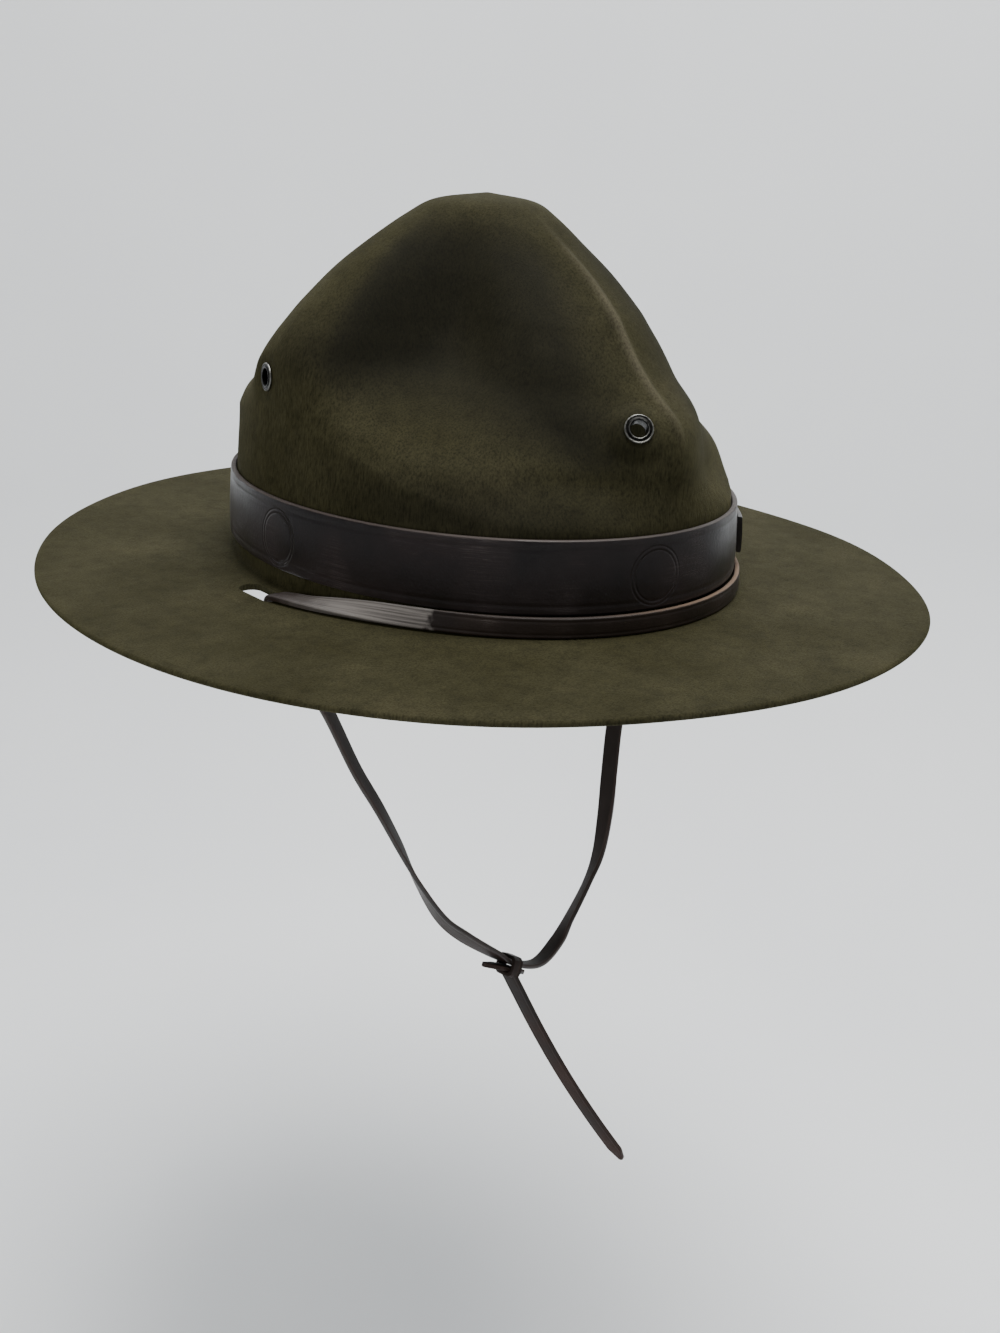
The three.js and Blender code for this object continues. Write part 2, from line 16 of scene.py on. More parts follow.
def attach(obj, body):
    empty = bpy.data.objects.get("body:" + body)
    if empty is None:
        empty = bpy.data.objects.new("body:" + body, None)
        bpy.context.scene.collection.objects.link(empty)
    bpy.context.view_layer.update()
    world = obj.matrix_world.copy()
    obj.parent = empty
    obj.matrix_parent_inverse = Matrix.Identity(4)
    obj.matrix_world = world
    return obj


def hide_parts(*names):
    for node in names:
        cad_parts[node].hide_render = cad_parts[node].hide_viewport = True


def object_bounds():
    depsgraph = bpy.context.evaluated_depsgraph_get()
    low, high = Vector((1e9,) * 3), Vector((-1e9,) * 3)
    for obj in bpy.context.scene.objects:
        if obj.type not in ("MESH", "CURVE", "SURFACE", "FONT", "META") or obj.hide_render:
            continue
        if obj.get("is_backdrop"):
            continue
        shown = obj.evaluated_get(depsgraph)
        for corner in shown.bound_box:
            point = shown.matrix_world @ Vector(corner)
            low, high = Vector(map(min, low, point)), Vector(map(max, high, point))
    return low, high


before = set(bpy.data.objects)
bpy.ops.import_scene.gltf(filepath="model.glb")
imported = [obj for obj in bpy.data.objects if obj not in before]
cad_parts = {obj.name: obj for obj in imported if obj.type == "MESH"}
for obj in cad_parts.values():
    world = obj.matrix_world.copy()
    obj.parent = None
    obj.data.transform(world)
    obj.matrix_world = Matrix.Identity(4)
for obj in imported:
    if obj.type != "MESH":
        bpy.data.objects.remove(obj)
solid_low, solid_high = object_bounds()
print("solids:", sorted(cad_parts), "box", tuple(solid_low), tuple(solid_high))

# %% [markdown]
# ## Camera
# A phone photograph is a plain perspective view. The camera stands about half a metre off, a
# little above the brim, round to the wearer's right. Writing its three axes out as a matrix is
# clearer than turning it by angles, because the small roll then goes in by itself.

# %% Camera
# Angles in radians, with the azimuth from the front, and distances in metres. The last two shift
# the camera across and up in the picture's plane
AZIMUTH, ELEVATION, ROLL = -0.733, 0.3575, 0.0418
DISTANCE, ASIDE, ALOFT = 0.5276, 0.0098, -0.0440
LENS_MM = SENSOR_MM = 36

back = Vector((
    math.sin(AZIMUTH) * math.cos(ELEVATION),
    -math.cos(AZIMUTH) * math.cos(ELEVATION),
    math.sin(ELEVATION),
))
level = Vector((math.cos(AZIMUTH), math.sin(AZIMUTH), 0))
upright = back.cross(level)
right = math.cos(ROLL) * level + math.sin(ROLL) * upright
above = math.cos(ROLL) * upright - math.sin(ROLL) * level

camera_data = bpy.data.cameras.new("photo_camera")
camera_data.lens, camera_data.sensor_width = LENS_MM, SENSOR_MM
camera_data.dof.use_dof = False
camera_data.clip_start, camera_data.clip_end = 0.01, 20
camera = bpy.data.objects.new("photo_camera", camera_data)
camera.matrix_world = Matrix.Translation(
    back * DISTANCE + right * ASIDE + above * ALOFT
) @ Matrix((right, above, back)).transposed().to_4x4()
bpy.context.scene.collection.objects.link(camera)
bpy.context.scene.camera = camera
print("camera at", tuple(round(v, 3) for v in camera.matrix_world.translation))

# %% [markdown]
# ## Small helpers
# A few tools carry the whole lesson: a colour read from a hex value, a material with an empty tree,
# one shader node with its settings and links, and a closed skin drawn through rings of points. A
# skin through rings suits everything here, because felt, band and strap are all long or round forms
# of even thickness. The two lengths along its surface are kept as UVs, in mm, so that a material can
# put wear on an edge or a crease across a strip.

# %% Helpers
MM = 0.001


def colour(hex_value):
    """An sRGB hex colour as the linear values that shaders work in."""
    parts = [int(hex_value[i:i + 2], 16) / 255 for i in (1, 3, 5)]
    return [p / 12.92 if p <= 0.04045 else ((p + 0.055) / 1.055) ** 2.4 for p in parts] + [1]


def empty_material(name):
    """A new material and its empty tree of nodes."""
    made = bpy.data.materials.new(name)
    made.use_nodes = True
    made.node_tree.nodes.clear()
    return made, made.node_tree


def node(tree, kind, inputs=None, **settings):
    """One shader node with its settings, and values or links for its inputs."""
    made = tree.nodes.new("ShaderNode" + kind)
    for name, value in settings.items():
        if name == "stops":
            elements = made.color_ramp.elements
            while len(elements) < len(value):
                elements.new(1)
            for element, (place, shade) in zip(elements, value):
                element.position, element.color = place, shade
        else:
            setattr(made, name, value)
    for key, value in (inputs or {}).items():
        if isinstance(value, bpy.types.NodeSocket):
            tree.links.new(value, made.inputs[key])
        else:
            made.inputs[key].default_value = value
    return made


def lengths_round(points):
    """Length so far at each point of a closed line, and at its first point again."""
    steps = np.linalg.norm(np.diff(points, axis=0, append=points[:1]), axis=1)
    return np.concatenate([[0], np.cumsum(steps)])


def skin(name, rings, joined=False, tips=None, along=None, across=None):
    """A closed skin through rings of points in mm, with the two surface lengths as its UVs.

    Joined rings close on each other, and other ones are closed by a fan of faces to each tip.
    """
    rings = np.asarray(rings, float)
    steps, count = rings.shape[:2]
    points = rings.reshape(-1, 3)
    i = np.arange(steps if joined else steps - 1)[:, None]
    j = np.arange(count)[None, :]
    here, there = i * count, (i + 1) % steps * count
    after = (j + 1) % count
    quads = np.stack(np.broadcast_arrays(here + j, here + after, there + after, there + j), -1)
    faces = quads.reshape(-1, 4).tolist()
    if along is None:
        along = np.arange(steps + 1.0)
    if across is None:
        across = np.arange(count + 1.0)
    u, v = along[i] + 0 * j, across[j] + 0 * i
    u2, v2 = along[i + 1] + 0 * j, across[j + 1] + 0 * i
    uvs = np.stack([u, v, u, v2, u2, v2, u2, v], -1).reshape(-1, 2).tolist()
    if tips is not None:
        points = np.vstack([points, tips])
        first, last = steps * count, steps * count + 1
        for k in range(count):
            k2 = (k + 1) % count
            faces.append([first, k2, k])
            faces.append([last, first - count + k, first - count + k2])
            uvs += [[along[0], across[k]]] * 3 + [[along[steps - 1], across[k]]] * 3
    mesh = bpy.data.meshes.new(name)
    mesh.from_pydata((points * MM).tolist(), [], faces)
    layer = mesh.uv_layers.new(name="surface_mm")
    layer.data.foreach_set("uv", np.asarray(uvs, np.float32).ravel())
    build = bmesh.new()
    build.from_mesh(mesh)
    bmesh.ops.recalc_face_normals(build, faces=build.faces)
    build.to_mesh(mesh)
    build.free()
    return dressed(name, mesh)


def dressed(name, mesh, sharp=40):
    """A smooth-shaded object of a mesh, creased where faces meet at more than an angle."""
    mesh.shade_smooth()
    mesh.set_sharp_from_angle(angle=math.radians(sharp))
    piece = bpy.data.objects.new(name, mesh)
    bpy.context.scene.collection.objects.link(piece)
    return piece


def finished(piece, material, slot, *solids):
    """Puts a piece on the frame in place of its solids, with its material."""
    piece.data.materials.clear()
    piece.data.materials.append(material)
    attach(piece, "root")
    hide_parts(*solids)
    print(piece.name, len(piece.data.polygons), "faces for", solids)


def smooth_column(keys, values, place):
    """A smooth line through a table's column, read at any places along its key."""
    keys, values = np.asarray(keys, float), np.asarray(values, float)
    gap, rate = np.diff(keys), np.diff(values) / np.diff(keys)
    slope = np.empty_like(values)
    slope[1:-1] = (rate[:-1] * gap[1:] + rate[1:] * gap[:-1]) / (gap[1:] + gap[:-1])
    slope[0], slope[-1] = rate[0], rate[-1]
    place = np.asarray(place, float)
    i = np.clip(np.searchsorted(keys, place) - 1, 0, len(keys) - 2)
    h, t = gap[i], np.clip((place - keys[i]) / gap[i], 0, 1)
    return (
        (2 * t**3 - 3 * t**2 + 1) * values[i] + (t**3 - 2 * t**2 + t) * h * slope[i]
        + (3 * t**2 - 2 * t**3) * values[i + 1] + (t**3 - t**2) * h * slope[i + 1]
    )


def smoothstep(x):
    """A share from 0 to 1, eased at both ends."""
    x = np.clip(x, 0, 1)
    return x * x * (3 - 2 * x)


def rises(value, start, full):
    """A gentle rise from 0 at one value to 1 at another."""
    return smoothstep((value - start) / (full - start))


# %% [markdown]
# ## The form of the crown
# The crown is pulled hot over a block, then four dents are pressed in by hand, so that four
# ridges run from the top to the front, the back and both sides. A table of sections gives how far
# out each ridge stands at each height, and a second table how deep a dent is on its way up. A
# formula between the ridges is easier to steer than hundreds of free points.

# %% Sizes and tables, in mm
CROWN_HALF_WIDTH, CROWN_HALF_LENGTH, CROWN_HEIGHT = 87.7, 104.4, 136
FRONT = 1.5 * math.pi
BRIM_REACH_SIDE, BRIM_REACH_FRONT, BRIM_SHIFT_BACK, BRIM_SADDLE = 73.5, 73.4, 1.4, 1.4
FELT, BREAK_RADIUS, FIT_GAP = 2.2, 2.5, 0.35

crown_sections = np.array([
    # share of the height, shares of the half width and half length at each ridge:
    # up, side, front, back
    (0, 1, 1, 1),
    (0.12, 1, 1, 1),
    (0.28, 0.985, 0.99, 0.99),
    (0.4, 0.962, 1.015, 0.985),
    (0.49, 0.95, 0.98, 0.955),
    (0.573, 0.95, 0.85, 0.885),
    (0.637, 0.913, 0.76, 0.815),
    (0.69, 0.85, 0.7, 0.755),
    (0.733, 0.785, 0.65, 0.7),
    (0.81, 0.65, 0.53, 0.575),
    (0.88, 0.5, 0.395, 0.435),
    (0.94, 0.352, 0.275, 0.305),
    (0.98, 0.218, 0.163, 0.18),
    (1, 0, 0, 0),
])
dent_sections = np.array([
    # rise from the dent's foot to the top, share of the radius pushed in
    (0, 0), (0.1, 0.05), (0.2, 0.17), (0.3, 0.32), (0.38, 0.405), (0.46, 0.435), (0.55, 0.43),
    (0.66, 0.39), (0.77, 0.32), (0.88, 0.2), (0.95, 0.085), (1, 0),
])
BROW_RISE = 0.38
dent_lines = np.array([
    # way from a side ridge (0) to an end ridge (1), then shares of the height:
    # foot and brow of a front dent, foot and brow of a back dent
    (0, 0.444, 0.61, 0.444, 0.65),
    (0.15, 0.42, 0.6, 0.43, 0.65),
    (0.3, 0.37, 0.59, 0.42, 0.66),
    (0.46, 0.31, 0.59, 0.41, 0.66),
    (0.6, 0.275, 0.56, 0.39, 0.64),
    (0.7, 0.265, 0.5, 0.375, 0.62),
    (0.8, 0.26, 0.44, 0.37, 0.6),
    (1, 0.26, 0.42, 0.37, 0.58),
])
fold_sections = np.array([
    # way, share of the full depth across a front dent, across a back dent
    (0, 0, 0), (0.06, 0.03, 0.03), (0.13, 0.18, 0.1), (0.22, 0.62, 0.42), (0.3, 0.9, 0.78),
    (0.38, 1, 1), (0.5, 0.86, 0.88), (0.6, 0.57, 0.57), (0.7, 0.32, 0.34), (0.8, 0.18, 0.16),
    (0.9, 0.09, 0.06), (1, 0, 0),
])
# The side ridges stand a little behind the middle, and the front is pinched on both sides
SIDE_RIDGE_SHIFT = math.radians(6.3)
PINCH_DEPTH, PINCH_TURN, PINCH_WIDE = 8, math.radians(24), math.radians(18)
PINCH_STARTS, PINCH_FULL, PINCH_FADES, PINCH_ENDS = 0.25, 0.37, 0.45, 0.66


# %% The crown, the break and the brim as formulas
def column(index, station):
    """A column of the crown's sections at stations from foot (0) to top (1)."""
    keys = np.linspace(0, 1, len(crown_sections))
    return smooth_column(keys, crown_sections[:, index], station)


def dent_column(table, first, place, in_front, apart):
    """A table's column for the front dents, or the one further on for the back dents."""
    front = smooth_column(table[:, 0], table[:, first], place)
    behind = smooth_column(table[:, 0], table[:, first + apart], place)
    return np.where(in_front, front, behind)


def turn_between(one, other):
    """Angle between two directions, never more than a half turn."""
    return np.abs((one - other + math.pi) % (2 * math.pi) - math.pi)


def way_to_end(angle):
    """Way from the side ridge (0) to the end ridge (1), and whether that end is the front."""
    from_front = turn_between(angle, FRONT)
    side_turn = math.pi / 2 + SIDE_RIDGE_SHIFT
    in_front = from_front <= side_turn
    return np.where(
        in_front, 1 - from_front / side_turn, (from_front - side_turn) / (math.pi - side_turn)
    ), in_front


def dent_place(angle, up):
    """Rise up the dent at an angle and a share of the height, and the dent's share across."""
    to_end, in_front = way_to_end(angle)
    foot = dent_column(dent_lines, 1, to_end, in_front, 2)
    brow = dent_column(dent_lines, 2, to_end, in_front, 2)
    rise = np.where(
        up < brow,
        BROW_RISE * np.clip((up - foot) / (brow - foot), 0, 1),
        BROW_RISE + (1 - BROW_RISE) * (up - brow) / (1 - brow),
    )
    return rise, dent_column(fold_sections, 1, to_end, in_front, 1)


def dent_depth(angle, up):
    """Share of the radius pushed in at an angle and a share of the height."""
    rise, across = dent_place(angle, up)
    return smooth_column(dent_sections[:, 0], dent_sections[:, 1], rise) * across


def crown_point(angle, station):
    """Outer face of the crown at angles round its oval, from foot (0) to top (1)."""
    angle, station = np.broadcast_arrays(np.asarray(angle, float), np.asarray(station, float))
    up = column(0, station)
    to_end, in_front = way_to_end(angle)
    ease = smoothstep(to_end)
    side, end = column(1, station), np.where(in_front, column(2, station), column(3, station))
    share = (side + (end - side) * ease) * (1 - dent_depth(angle, up))
    x = CROWN_HALF_WIDTH * np.cos(angle) * share
    y = CROWN_HALF_LENGTH * np.sin(angle) * share
    tall = rises(up, PINCH_STARTS, PINCH_FULL) * (1 - rises(up, PINCH_FADES, PINCH_ENDS))
    pinch = PINCH_DEPTH * tall * sum(
        np.exp(-((turn_between(angle, centre) / PINCH_WIDE) ** 2))
        for centre in (FRONT - PINCH_TURN, FRONT + PINCH_TURN)
    )
    kept = 1 - pinch / np.maximum(np.hypot(x, y), PINCH_DEPTH * 3)
    return np.stack([x * kept, y * kept, CROWN_HEIGHT * up], -1)


def station_at(height):
    """Station whose height is the given one."""
    stations = np.linspace(0, 1, 4001)
    return np.interp(height, CROWN_HEIGHT * column(0, stations), stations)


def brim_point(angle, share):
    """Top face of the brim from the crown's break (0) to its edge (1)."""
    width = CROWN_HALF_WIDTH + BREAK_RADIUS + (BRIM_REACH_SIDE - BREAK_RADIUS) * share
    length = CROWN_HALF_LENGTH + BREAK_RADIUS + (BRIM_REACH_FRONT - BREAK_RADIUS) * share
    sag = -BRIM_SADDLE * np.cos(2 * angle) * share
    return np.stack([
        width * np.cos(angle),
        length * np.sin(angle) + BRIM_SHIFT_BACK * share,
        FELT / 2 + sag + 0 * angle,
    ], -1)


def break_point(angle, share):
    """Rounded break between brim and crown, from flat (0) to upright (1)."""
    bend = share * math.pi / 2
    out = BREAK_RADIUS * (1 - np.sin(bend))
    return np.stack([
        (CROWN_HALF_WIDTH + out) * np.cos(angle),
        (CROWN_HALF_LENGTH + out) * np.sin(angle),
        FELT / 2 + BREAK_RADIUS * (1 - np.cos(bend)) + 0 * angle,
    ], -1)


print("crown 60 mm up, at the right side:", crown_point(math.pi, station_at(60)).round(1))

# %% [markdown]
# ## The felt body
# Hat felt is fur or wool fibre pressed into an even sheet, here about 2 mm thick. The outer skin
# is worked out as a fine grid, the inner skin is the same grid set in by the felt's thickness, and
# a half round joins them at the brim's cut edge. Slots and vent holes are cut afterwards with a
# boolean, because holes don't follow the grid.

# %% Felt body
EYELETS = {
    # turn from the front ridge in degrees, height in mm
    "eyelet_front": (-9, 66.5),
    "eyelet_right": (-101.5, 72.5),
    "eyelet_back": (171, 66.5),
    "eyelet_left": (87, 72.5),
}
# Radii of an eyelet's flange, barrel and hole, and the strap slots in the brim
FLANGE, BARREL, HOLE = 4.9, 3.5, 2.9
SLOT_SIDE, SLOT_WIDTH, SLOT_LENGTH, SLOT_FRONT = 96.5, 8.5, 22, -8.5


def eyelet_seat(turn, height):
    """Centre of an eyelet on the crown and the outward direction there."""
    angle, station = FRONT + math.radians(turn), station_at(height)
    reach = FLANGE / CROWN_HALF_LENGTH
    round_way = crown_point(angle + reach, station) - crown_point(angle - reach, station)
    high_way = (
        crown_point(angle, station_at(height + FLANGE))
        - crown_point(angle, station_at(height - FLANGE))
    )
    outward = np.cross(round_way, high_way)
    return crown_point(angle, station), outward / np.linalg.norm(outward)


AROUND, BRIM_ROWS, BREAK_ROWS, CROWN_ROWS, EDGE_ROWS = 288, 22, 7, 150, 8
TOP_STATION = 0.996
# The columns stand closest at the front ridge, which needs them most
step_round = np.linspace(0, 2 * math.pi, AROUND, endpoint=False)
angles = FRONT + step_round - 0.5 * np.sin(step_round)
first_station = station_at(FELT / 2 + BREAK_RADIUS)
rows = [brim_point(angles, s) for s in np.linspace(1, 0, BRIM_ROWS)]
rows += [break_point(angles, s) for s in np.linspace(0, 1, BREAK_ROWS)[1:-1]]
rows += [crown_point(angles, s) for s in np.linspace(first_station, TOP_STATION, CROWN_ROWS)]
outer = np.array(rows)
print("outer felt grid", outer.shape)


def outward_of(grid):
    """Outward direction at each point of a grid of rings."""
    round_way = np.roll(grid, -1, 1) - np.roll(grid, 1, 1)
    up_way = np.gradient(grid, axis=0)
    way = np.cross(round_way, up_way)
    return way / np.linalg.norm(way, axis=-1, keepdims=True)


# %% [markdown]
# ## Marks of handling in the form
# A blocked crown is never quite even. Slow waves of about a millimetre give the whole felt its
# hand-made look, and a short table puts in the few places that were pushed further. The front ridge
# is pinched to a narrow crest, and each eyelet clamps the felt flat. Sculpting would do the same,
# but a table can be read and changed.

# %% Uneven felt, pushed places and the crest
WAVES, SLOWEST, FASTEST = 9, 0.03, 0.09  # waves, and their turns in radians per mm
chance = np.random.default_rng(7)
uneven = np.zeros(outer.shape[:2])
for wave in range(WAVES):
    way = chance.normal(size=3)
    way *= chance.uniform(SLOWEST, FASTEST) / np.linalg.norm(way)
    uneven += np.sin(outer @ way + chance.uniform(0, 6.3)) / WAVES
# The waves start above the band and away from the crown's foot, so band and strap still fit
on_crown = np.clip((outer[..., 2] - 36) / 25, 0, 1)
on_brim = np.clip((np.hypot(outer[..., 0], outer[..., 1]) - 115) / 60, 0, 1) * (outer[..., 2] < 8)
UNEVEN_CROWN, UNEVEN_BRIM = 1.6, 1.2
uneven *= UNEVEN_CROWN * on_crown + UNEVEN_BRIM * on_brim
outer += outward_of(outer) * uneven[..., None]


def spot_on_crown(angle, height, spot):
    """Share of a soft spot of (turn, height, half width, half height) at angles and heights."""
    turn, high, wide, tall = spot
    aside = turn_between(angle, FRONT + math.radians(turn)) / math.radians(wide)
    return np.exp(-(aside**2) - ((height - high) / tall) ** 2)


def below_the_top(height):
    """1 on the crown's wall, and 0 at its top, where all the columns meet."""
    return 1 - rises(height, 112, 128)


pushed = [
    # spot: turn from the front ridge, height, half width in degrees, half height; then the push
    # outward in mm, negative for inward
    ((-12, 88, 9, 34), -1.8), ((-22, 92, 12, 30), -2.2), ((-16, 68, 10, 12), -1.2),
    ((0, 84, 7, 16), -1.6), ((24, 62, 15, 14), 4), ((24, 84, 13, 12), 0.6),
    ((-128, 92, 18, 13), -2.8), ((-128, 63, 16, 9), 1), ((-110, 74, 9, 10), 1.4),
]
for spot, push in pushed:
    heights = outer[..., 2]
    amount = push * spot_on_crown(angles, heights, spot) * below_the_top(heights)
    outer += outward_of(outer) * amount[..., None]
# The front ridge is pinched to a narrow crest between finger and thumb
CREST_HALF_WIDTH, CREST_RISE, CREST_STARTS, CREST_FULL = 2.0, 0.8, 58, 70
crest = np.exp(-((outer[..., 0] / CREST_HALF_WIDTH) ** 2)) * (outer[..., 1] < 0)
crest *= rises(outer[..., 2], CREST_STARTS, CREST_FULL) * below_the_top(outer[..., 2])
outer += outward_of(outer) * (CREST_RISE * crest)[..., None]
# Each eyelet presses the felt flat and a little in, fading out beyond its flange
PRESSED_IN, PRESS_FADES = 0.25, 7
for turn, height in EYELETS.values():
    centre, outward = eyelet_seat(turn, height)
    away = outer - centre
    near = 1 - rises(np.linalg.norm(away, axis=-1), FLANGE, FLANGE + PRESS_FADES)
    outer -= outward * (near * (away @ outward + PRESSED_IN))[..., None]
print("pushed places", len(pushed), "and eyelet seats", len(EYELETS))

# %% Inner face, edge and skin
way = outward_of(outer)
inner = outer - way * FELT
middle = outer[0] - way[0] * FELT / 2
aside = np.stack([np.cos(angles), np.sin(angles), 0 * angles], -1)
edge = [
    middle + aside * (FELT / 2 * math.sin(a)) + way[0] * (FELT / 2 * math.cos(a))
    for a in np.linspace(0, math.pi, EDGE_ROWS)[1:-1]
]
# Inside the crown, which is seldom seen, every second row is enough
brim_and_break = BRIM_ROWS + BREAK_ROWS - 3
rings = np.concatenate([outer[::-1], edge, inner[:brim_and_break], inner[brim_and_break::2]])
tips = [(0, 0, grid[-1, :, 2].mean() + 0.05) for grid in (outer, inner)]
felt = skin("felt_shell", rings, tips=tips)
print("felt grid", rings.shape)


# %% Cut the strap slots and the vent holes
CUT_REACH, SLOT_CORNER, HOLE_ROOM = 8, 2.5, 0.1


def cut(piece, cutter):
    """Takes a cutter mesh out of a piece and removes it."""
    tool = piece.modifiers.new("cut", "BOOLEAN")
    tool.object, tool.operation, tool.solver = cutter, "DIFFERENCE", "EXACT"
    shown = piece.evaluated_get(bpy.context.evaluated_depsgraph_get())
    mesh = bpy.data.meshes.new_from_object(shown)
    piece.modifiers.clear()
    piece.data = mesh
    bpy.data.objects.remove(cutter)


build = bmesh.new()
for turn, height in EYELETS.values():
    centre, outward = eyelet_seat(turn, height)
    turned = Vector(outward).to_track_quat("Z", "Y").to_matrix().to_4x4()
    bmesh.ops.create_cone(
        build, cap_ends=True, segments=40, depth=2 * CUT_REACH * MM,
        radius1=(BARREL + HOLE_ROOM) * MM, radius2=(BARREL + HOLE_ROOM) * MM,
        matrix=Matrix.Translation(Vector(centre) * MM) @ turned,
    )
for side in (-1, 1):
    half = SLOT_WIDTH / 2
    near, far = SLOT_FRONT + SLOT_CORNER, SLOT_FRONT + SLOT_LENGTH - half
    # Three arcs make the slot: two small corners at the front and a half round at the back
    arcs = (
        (half - SLOT_CORNER, near, SLOT_CORNER, -math.pi / 2, 0, 7),
        (0, far, half, 0, math.pi, 19),
        (SLOT_CORNER - half, near, SLOT_CORNER, math.pi, 1.5 * math.pi, 7),
    )
    rim = [
        (x + radius * math.cos(a), y + radius * math.sin(a))
        for x, y, radius, first, last, count in arcs for a in np.linspace(first, last, count)
    ]
    low = [
        build.verts.new(((side * SLOT_SIDE + x) * MM, y * MM, -CUT_REACH * MM)) for x, y in rim
    ]
    floor_face = build.faces.new(low)
    lifted = bmesh.ops.extrude_face_region(build, geom=[floor_face])
    bmesh.ops.translate(
        build, vec=(0, 0, 2 * CUT_REACH * MM),
        verts=[g for g in lifted["geom"] if isinstance(g, bmesh.types.BMVert)],
    )
bmesh.ops.recalc_face_normals(build, faces=build.faces)
cutter_mesh = bpy.data.meshes.new("slot_and_vent_cutters")
build.to_mesh(cutter_mesh)
build.free()
cutter = bpy.data.objects.new("slot_and_vent_cutters", cutter_mesh)
bpy.context.scene.collection.objects.link(cutter)
cut(felt, cutter)
felt.data.shade_smooth()
felt.data.set_sharp_from_angle(angle=math.radians(45))
print("felt after cutting", len(felt.data.polygons), "faces")

# %% [markdown]
# ## Painted shade and painted highlight on the felt
# Shade is painted into the felt's colour in its dents and on two spots of the wall, and a pale
# painted highlight runs along the front ridge. Painting such places by hand is the usual way. Here
# they are worked out from the dents themselves and kept on the mesh as two named shares, which the
# felt's material reads. This comes after the cut, because the cut makes new points.

# %% Shares of painted shade and painted highlight
at = np.empty(len(felt.data.vertices) * 3, np.float32)
felt.data.vertices.foreach_get("co", at)
at = at.reshape(-1, 3) / MM
up = np.clip(at[:, 2] / CROWN_HEIGHT, 0, 1)
around = np.arctan2(at[:, 1] / CROWN_HALF_LENGTH, at[:, 0] / CROWN_HALF_WIDTH)
rise, across = dent_place(around, up)
# The painted shade's limits are rises up a dent, as dent_place gives them
PAINTED_SHADE_STARTS, PAINTED_SHADE_FULL, PAINTED_SHADE_FADES, PAINTED_SHADE_ENDS, PAINTED_SHADE_FULL_ACROSS = 0.12, 0.4, 0.78, 0.98, 1 / 4.5
over_band = up > 0.15
painted_shade_share = rises(rise, PAINTED_SHADE_STARTS, PAINTED_SHADE_FULL) * (1 - rises(rise, PAINTED_SHADE_FADES, PAINTED_SHADE_ENDS))
painted_shade_share *= rises(across, 0, PAINTED_SHADE_FULL_ACROSS) * over_band
# Two more spots of painted shade on the crown's wall, with their shares
for spot, share in (((-46, 39, 32, 12), 0.75), ((-86, 84, 14, 10), 0.6)):
    spot_shade = share * spot_on_crown(around, at[:, 2], spot)
    painted_shade_share = np.maximum(painted_shade_share, spot_shade * over_band)
# A narrow pale band along the front ridge is a painted highlight
HIGHLIGHT_HALF_WIDTH, HIGHLIGHT_SHARE = 1.8, 0.75
ridge_highlight = HIGHLIGHT_SHARE * np.exp(-((at[:, 0] / HIGHLIGHT_HALF_WIDTH) ** 2)) * (at[:, 1] < 0)
ridge_highlight *= rises(at[:, 2], 55, 85) * (1 - rises(at[:, 2], 100, 130))
for name, values in (("hollow", painted_shade_share), ("rubbed_ridge", ridge_highlight)):
    layer = felt.data.attributes.new(name, "FLOAT", "POINT")
    layer.data.foreach_set("value", values.astype(np.float32))
    print(name, "from", round(float(values.min()), 2), "to", round(float(values.max()), 2))

# %% [markdown]
# ## Wool felt as a material
# Felt is thousands of short fibres lying every way, dyed in the piece. The eye gets three things
# from it: a cloudy colour over some centimetres, a fine speckle of tufts, and a pale
# bloom at glancing angles where the nap stands out. So the colour is three noises of different
# real sizes, the bump is fine noise, and the bloom is the shader's sheen. The two shares kept on
# the mesh then paint shade into the dents and a pale highlight along the front ridge.

# %% Felt material
# Sizes in mm of dye clouds, brushed patches and tufts, and the share of their fineness that tufts
# keep upwards, which draws them out. Real fibres are about 0.02 mm thick, too fine to show
CLOUD_SIZE, PATCH_SIZE, TUFT_SIZE, TUFT_UPWARDS = 45.45, 6.667, 0.6667, 0.22
felt_wool, tree = empty_material("olive_wool_felt")
place = node(tree, "TexCoord").outputs["Object"]
cloud = node(tree, "TexNoise", {
    "Vector": place, "Scale": 1 / (CLOUD_SIZE * MM), "Detail": 4, "Roughness": 0.6,
})
patch = node(tree, "TexNoise", {
    "Vector": place, "Scale": 1 / (PATCH_SIZE * MM), "Detail": 4, "Roughness": 0.65,
})
combed = node(tree, "Mapping", {"Vector": place, "Scale": (1, 1, TUFT_UPWARDS)})
fibre = node(tree, "TexNoise", {
    "Vector": combed.outputs[0], "Scale": 1 / (TUFT_SIZE * MM), "Detail": 3, "Roughness": 0.7,
})
base = node(tree, "ValToRGB", {"Fac": cloud.outputs["Fac"]}, stops=[
    (0.32, colour("#2e2c1b")), (0.55, colour("#373524")), (0.75, colour("#403d2b")),
])
mottle = node(tree, "ValToRGB", {"Fac": patch.outputs["Fac"]}, stops=[
    (0.3, colour("#d4d4d4")), (0.5, colour("#f0f0f0")), (0.72, colour("#ffffff")),
])
speckle = node(tree, "ValToRGB", {"Fac": fibre.outputs["Fac"]}, stops=[
    (0.32, colour("#858585")), (0.52, colour("#e4e4e4")), (0.68, colour("#ffffff")),
])
mixed = node(tree, "Mix", {0: 1.0, 6: base.outputs[0], 7: mottle.outputs[0]},
             data_type="RGBA", blend_type="MULTIPLY")
tinted = node(tree, "Mix", {0: 0.8, 6: mixed.outputs[2], 7: speckle.outputs[0]},
              data_type="RGBA", blend_type="MULTIPLY")
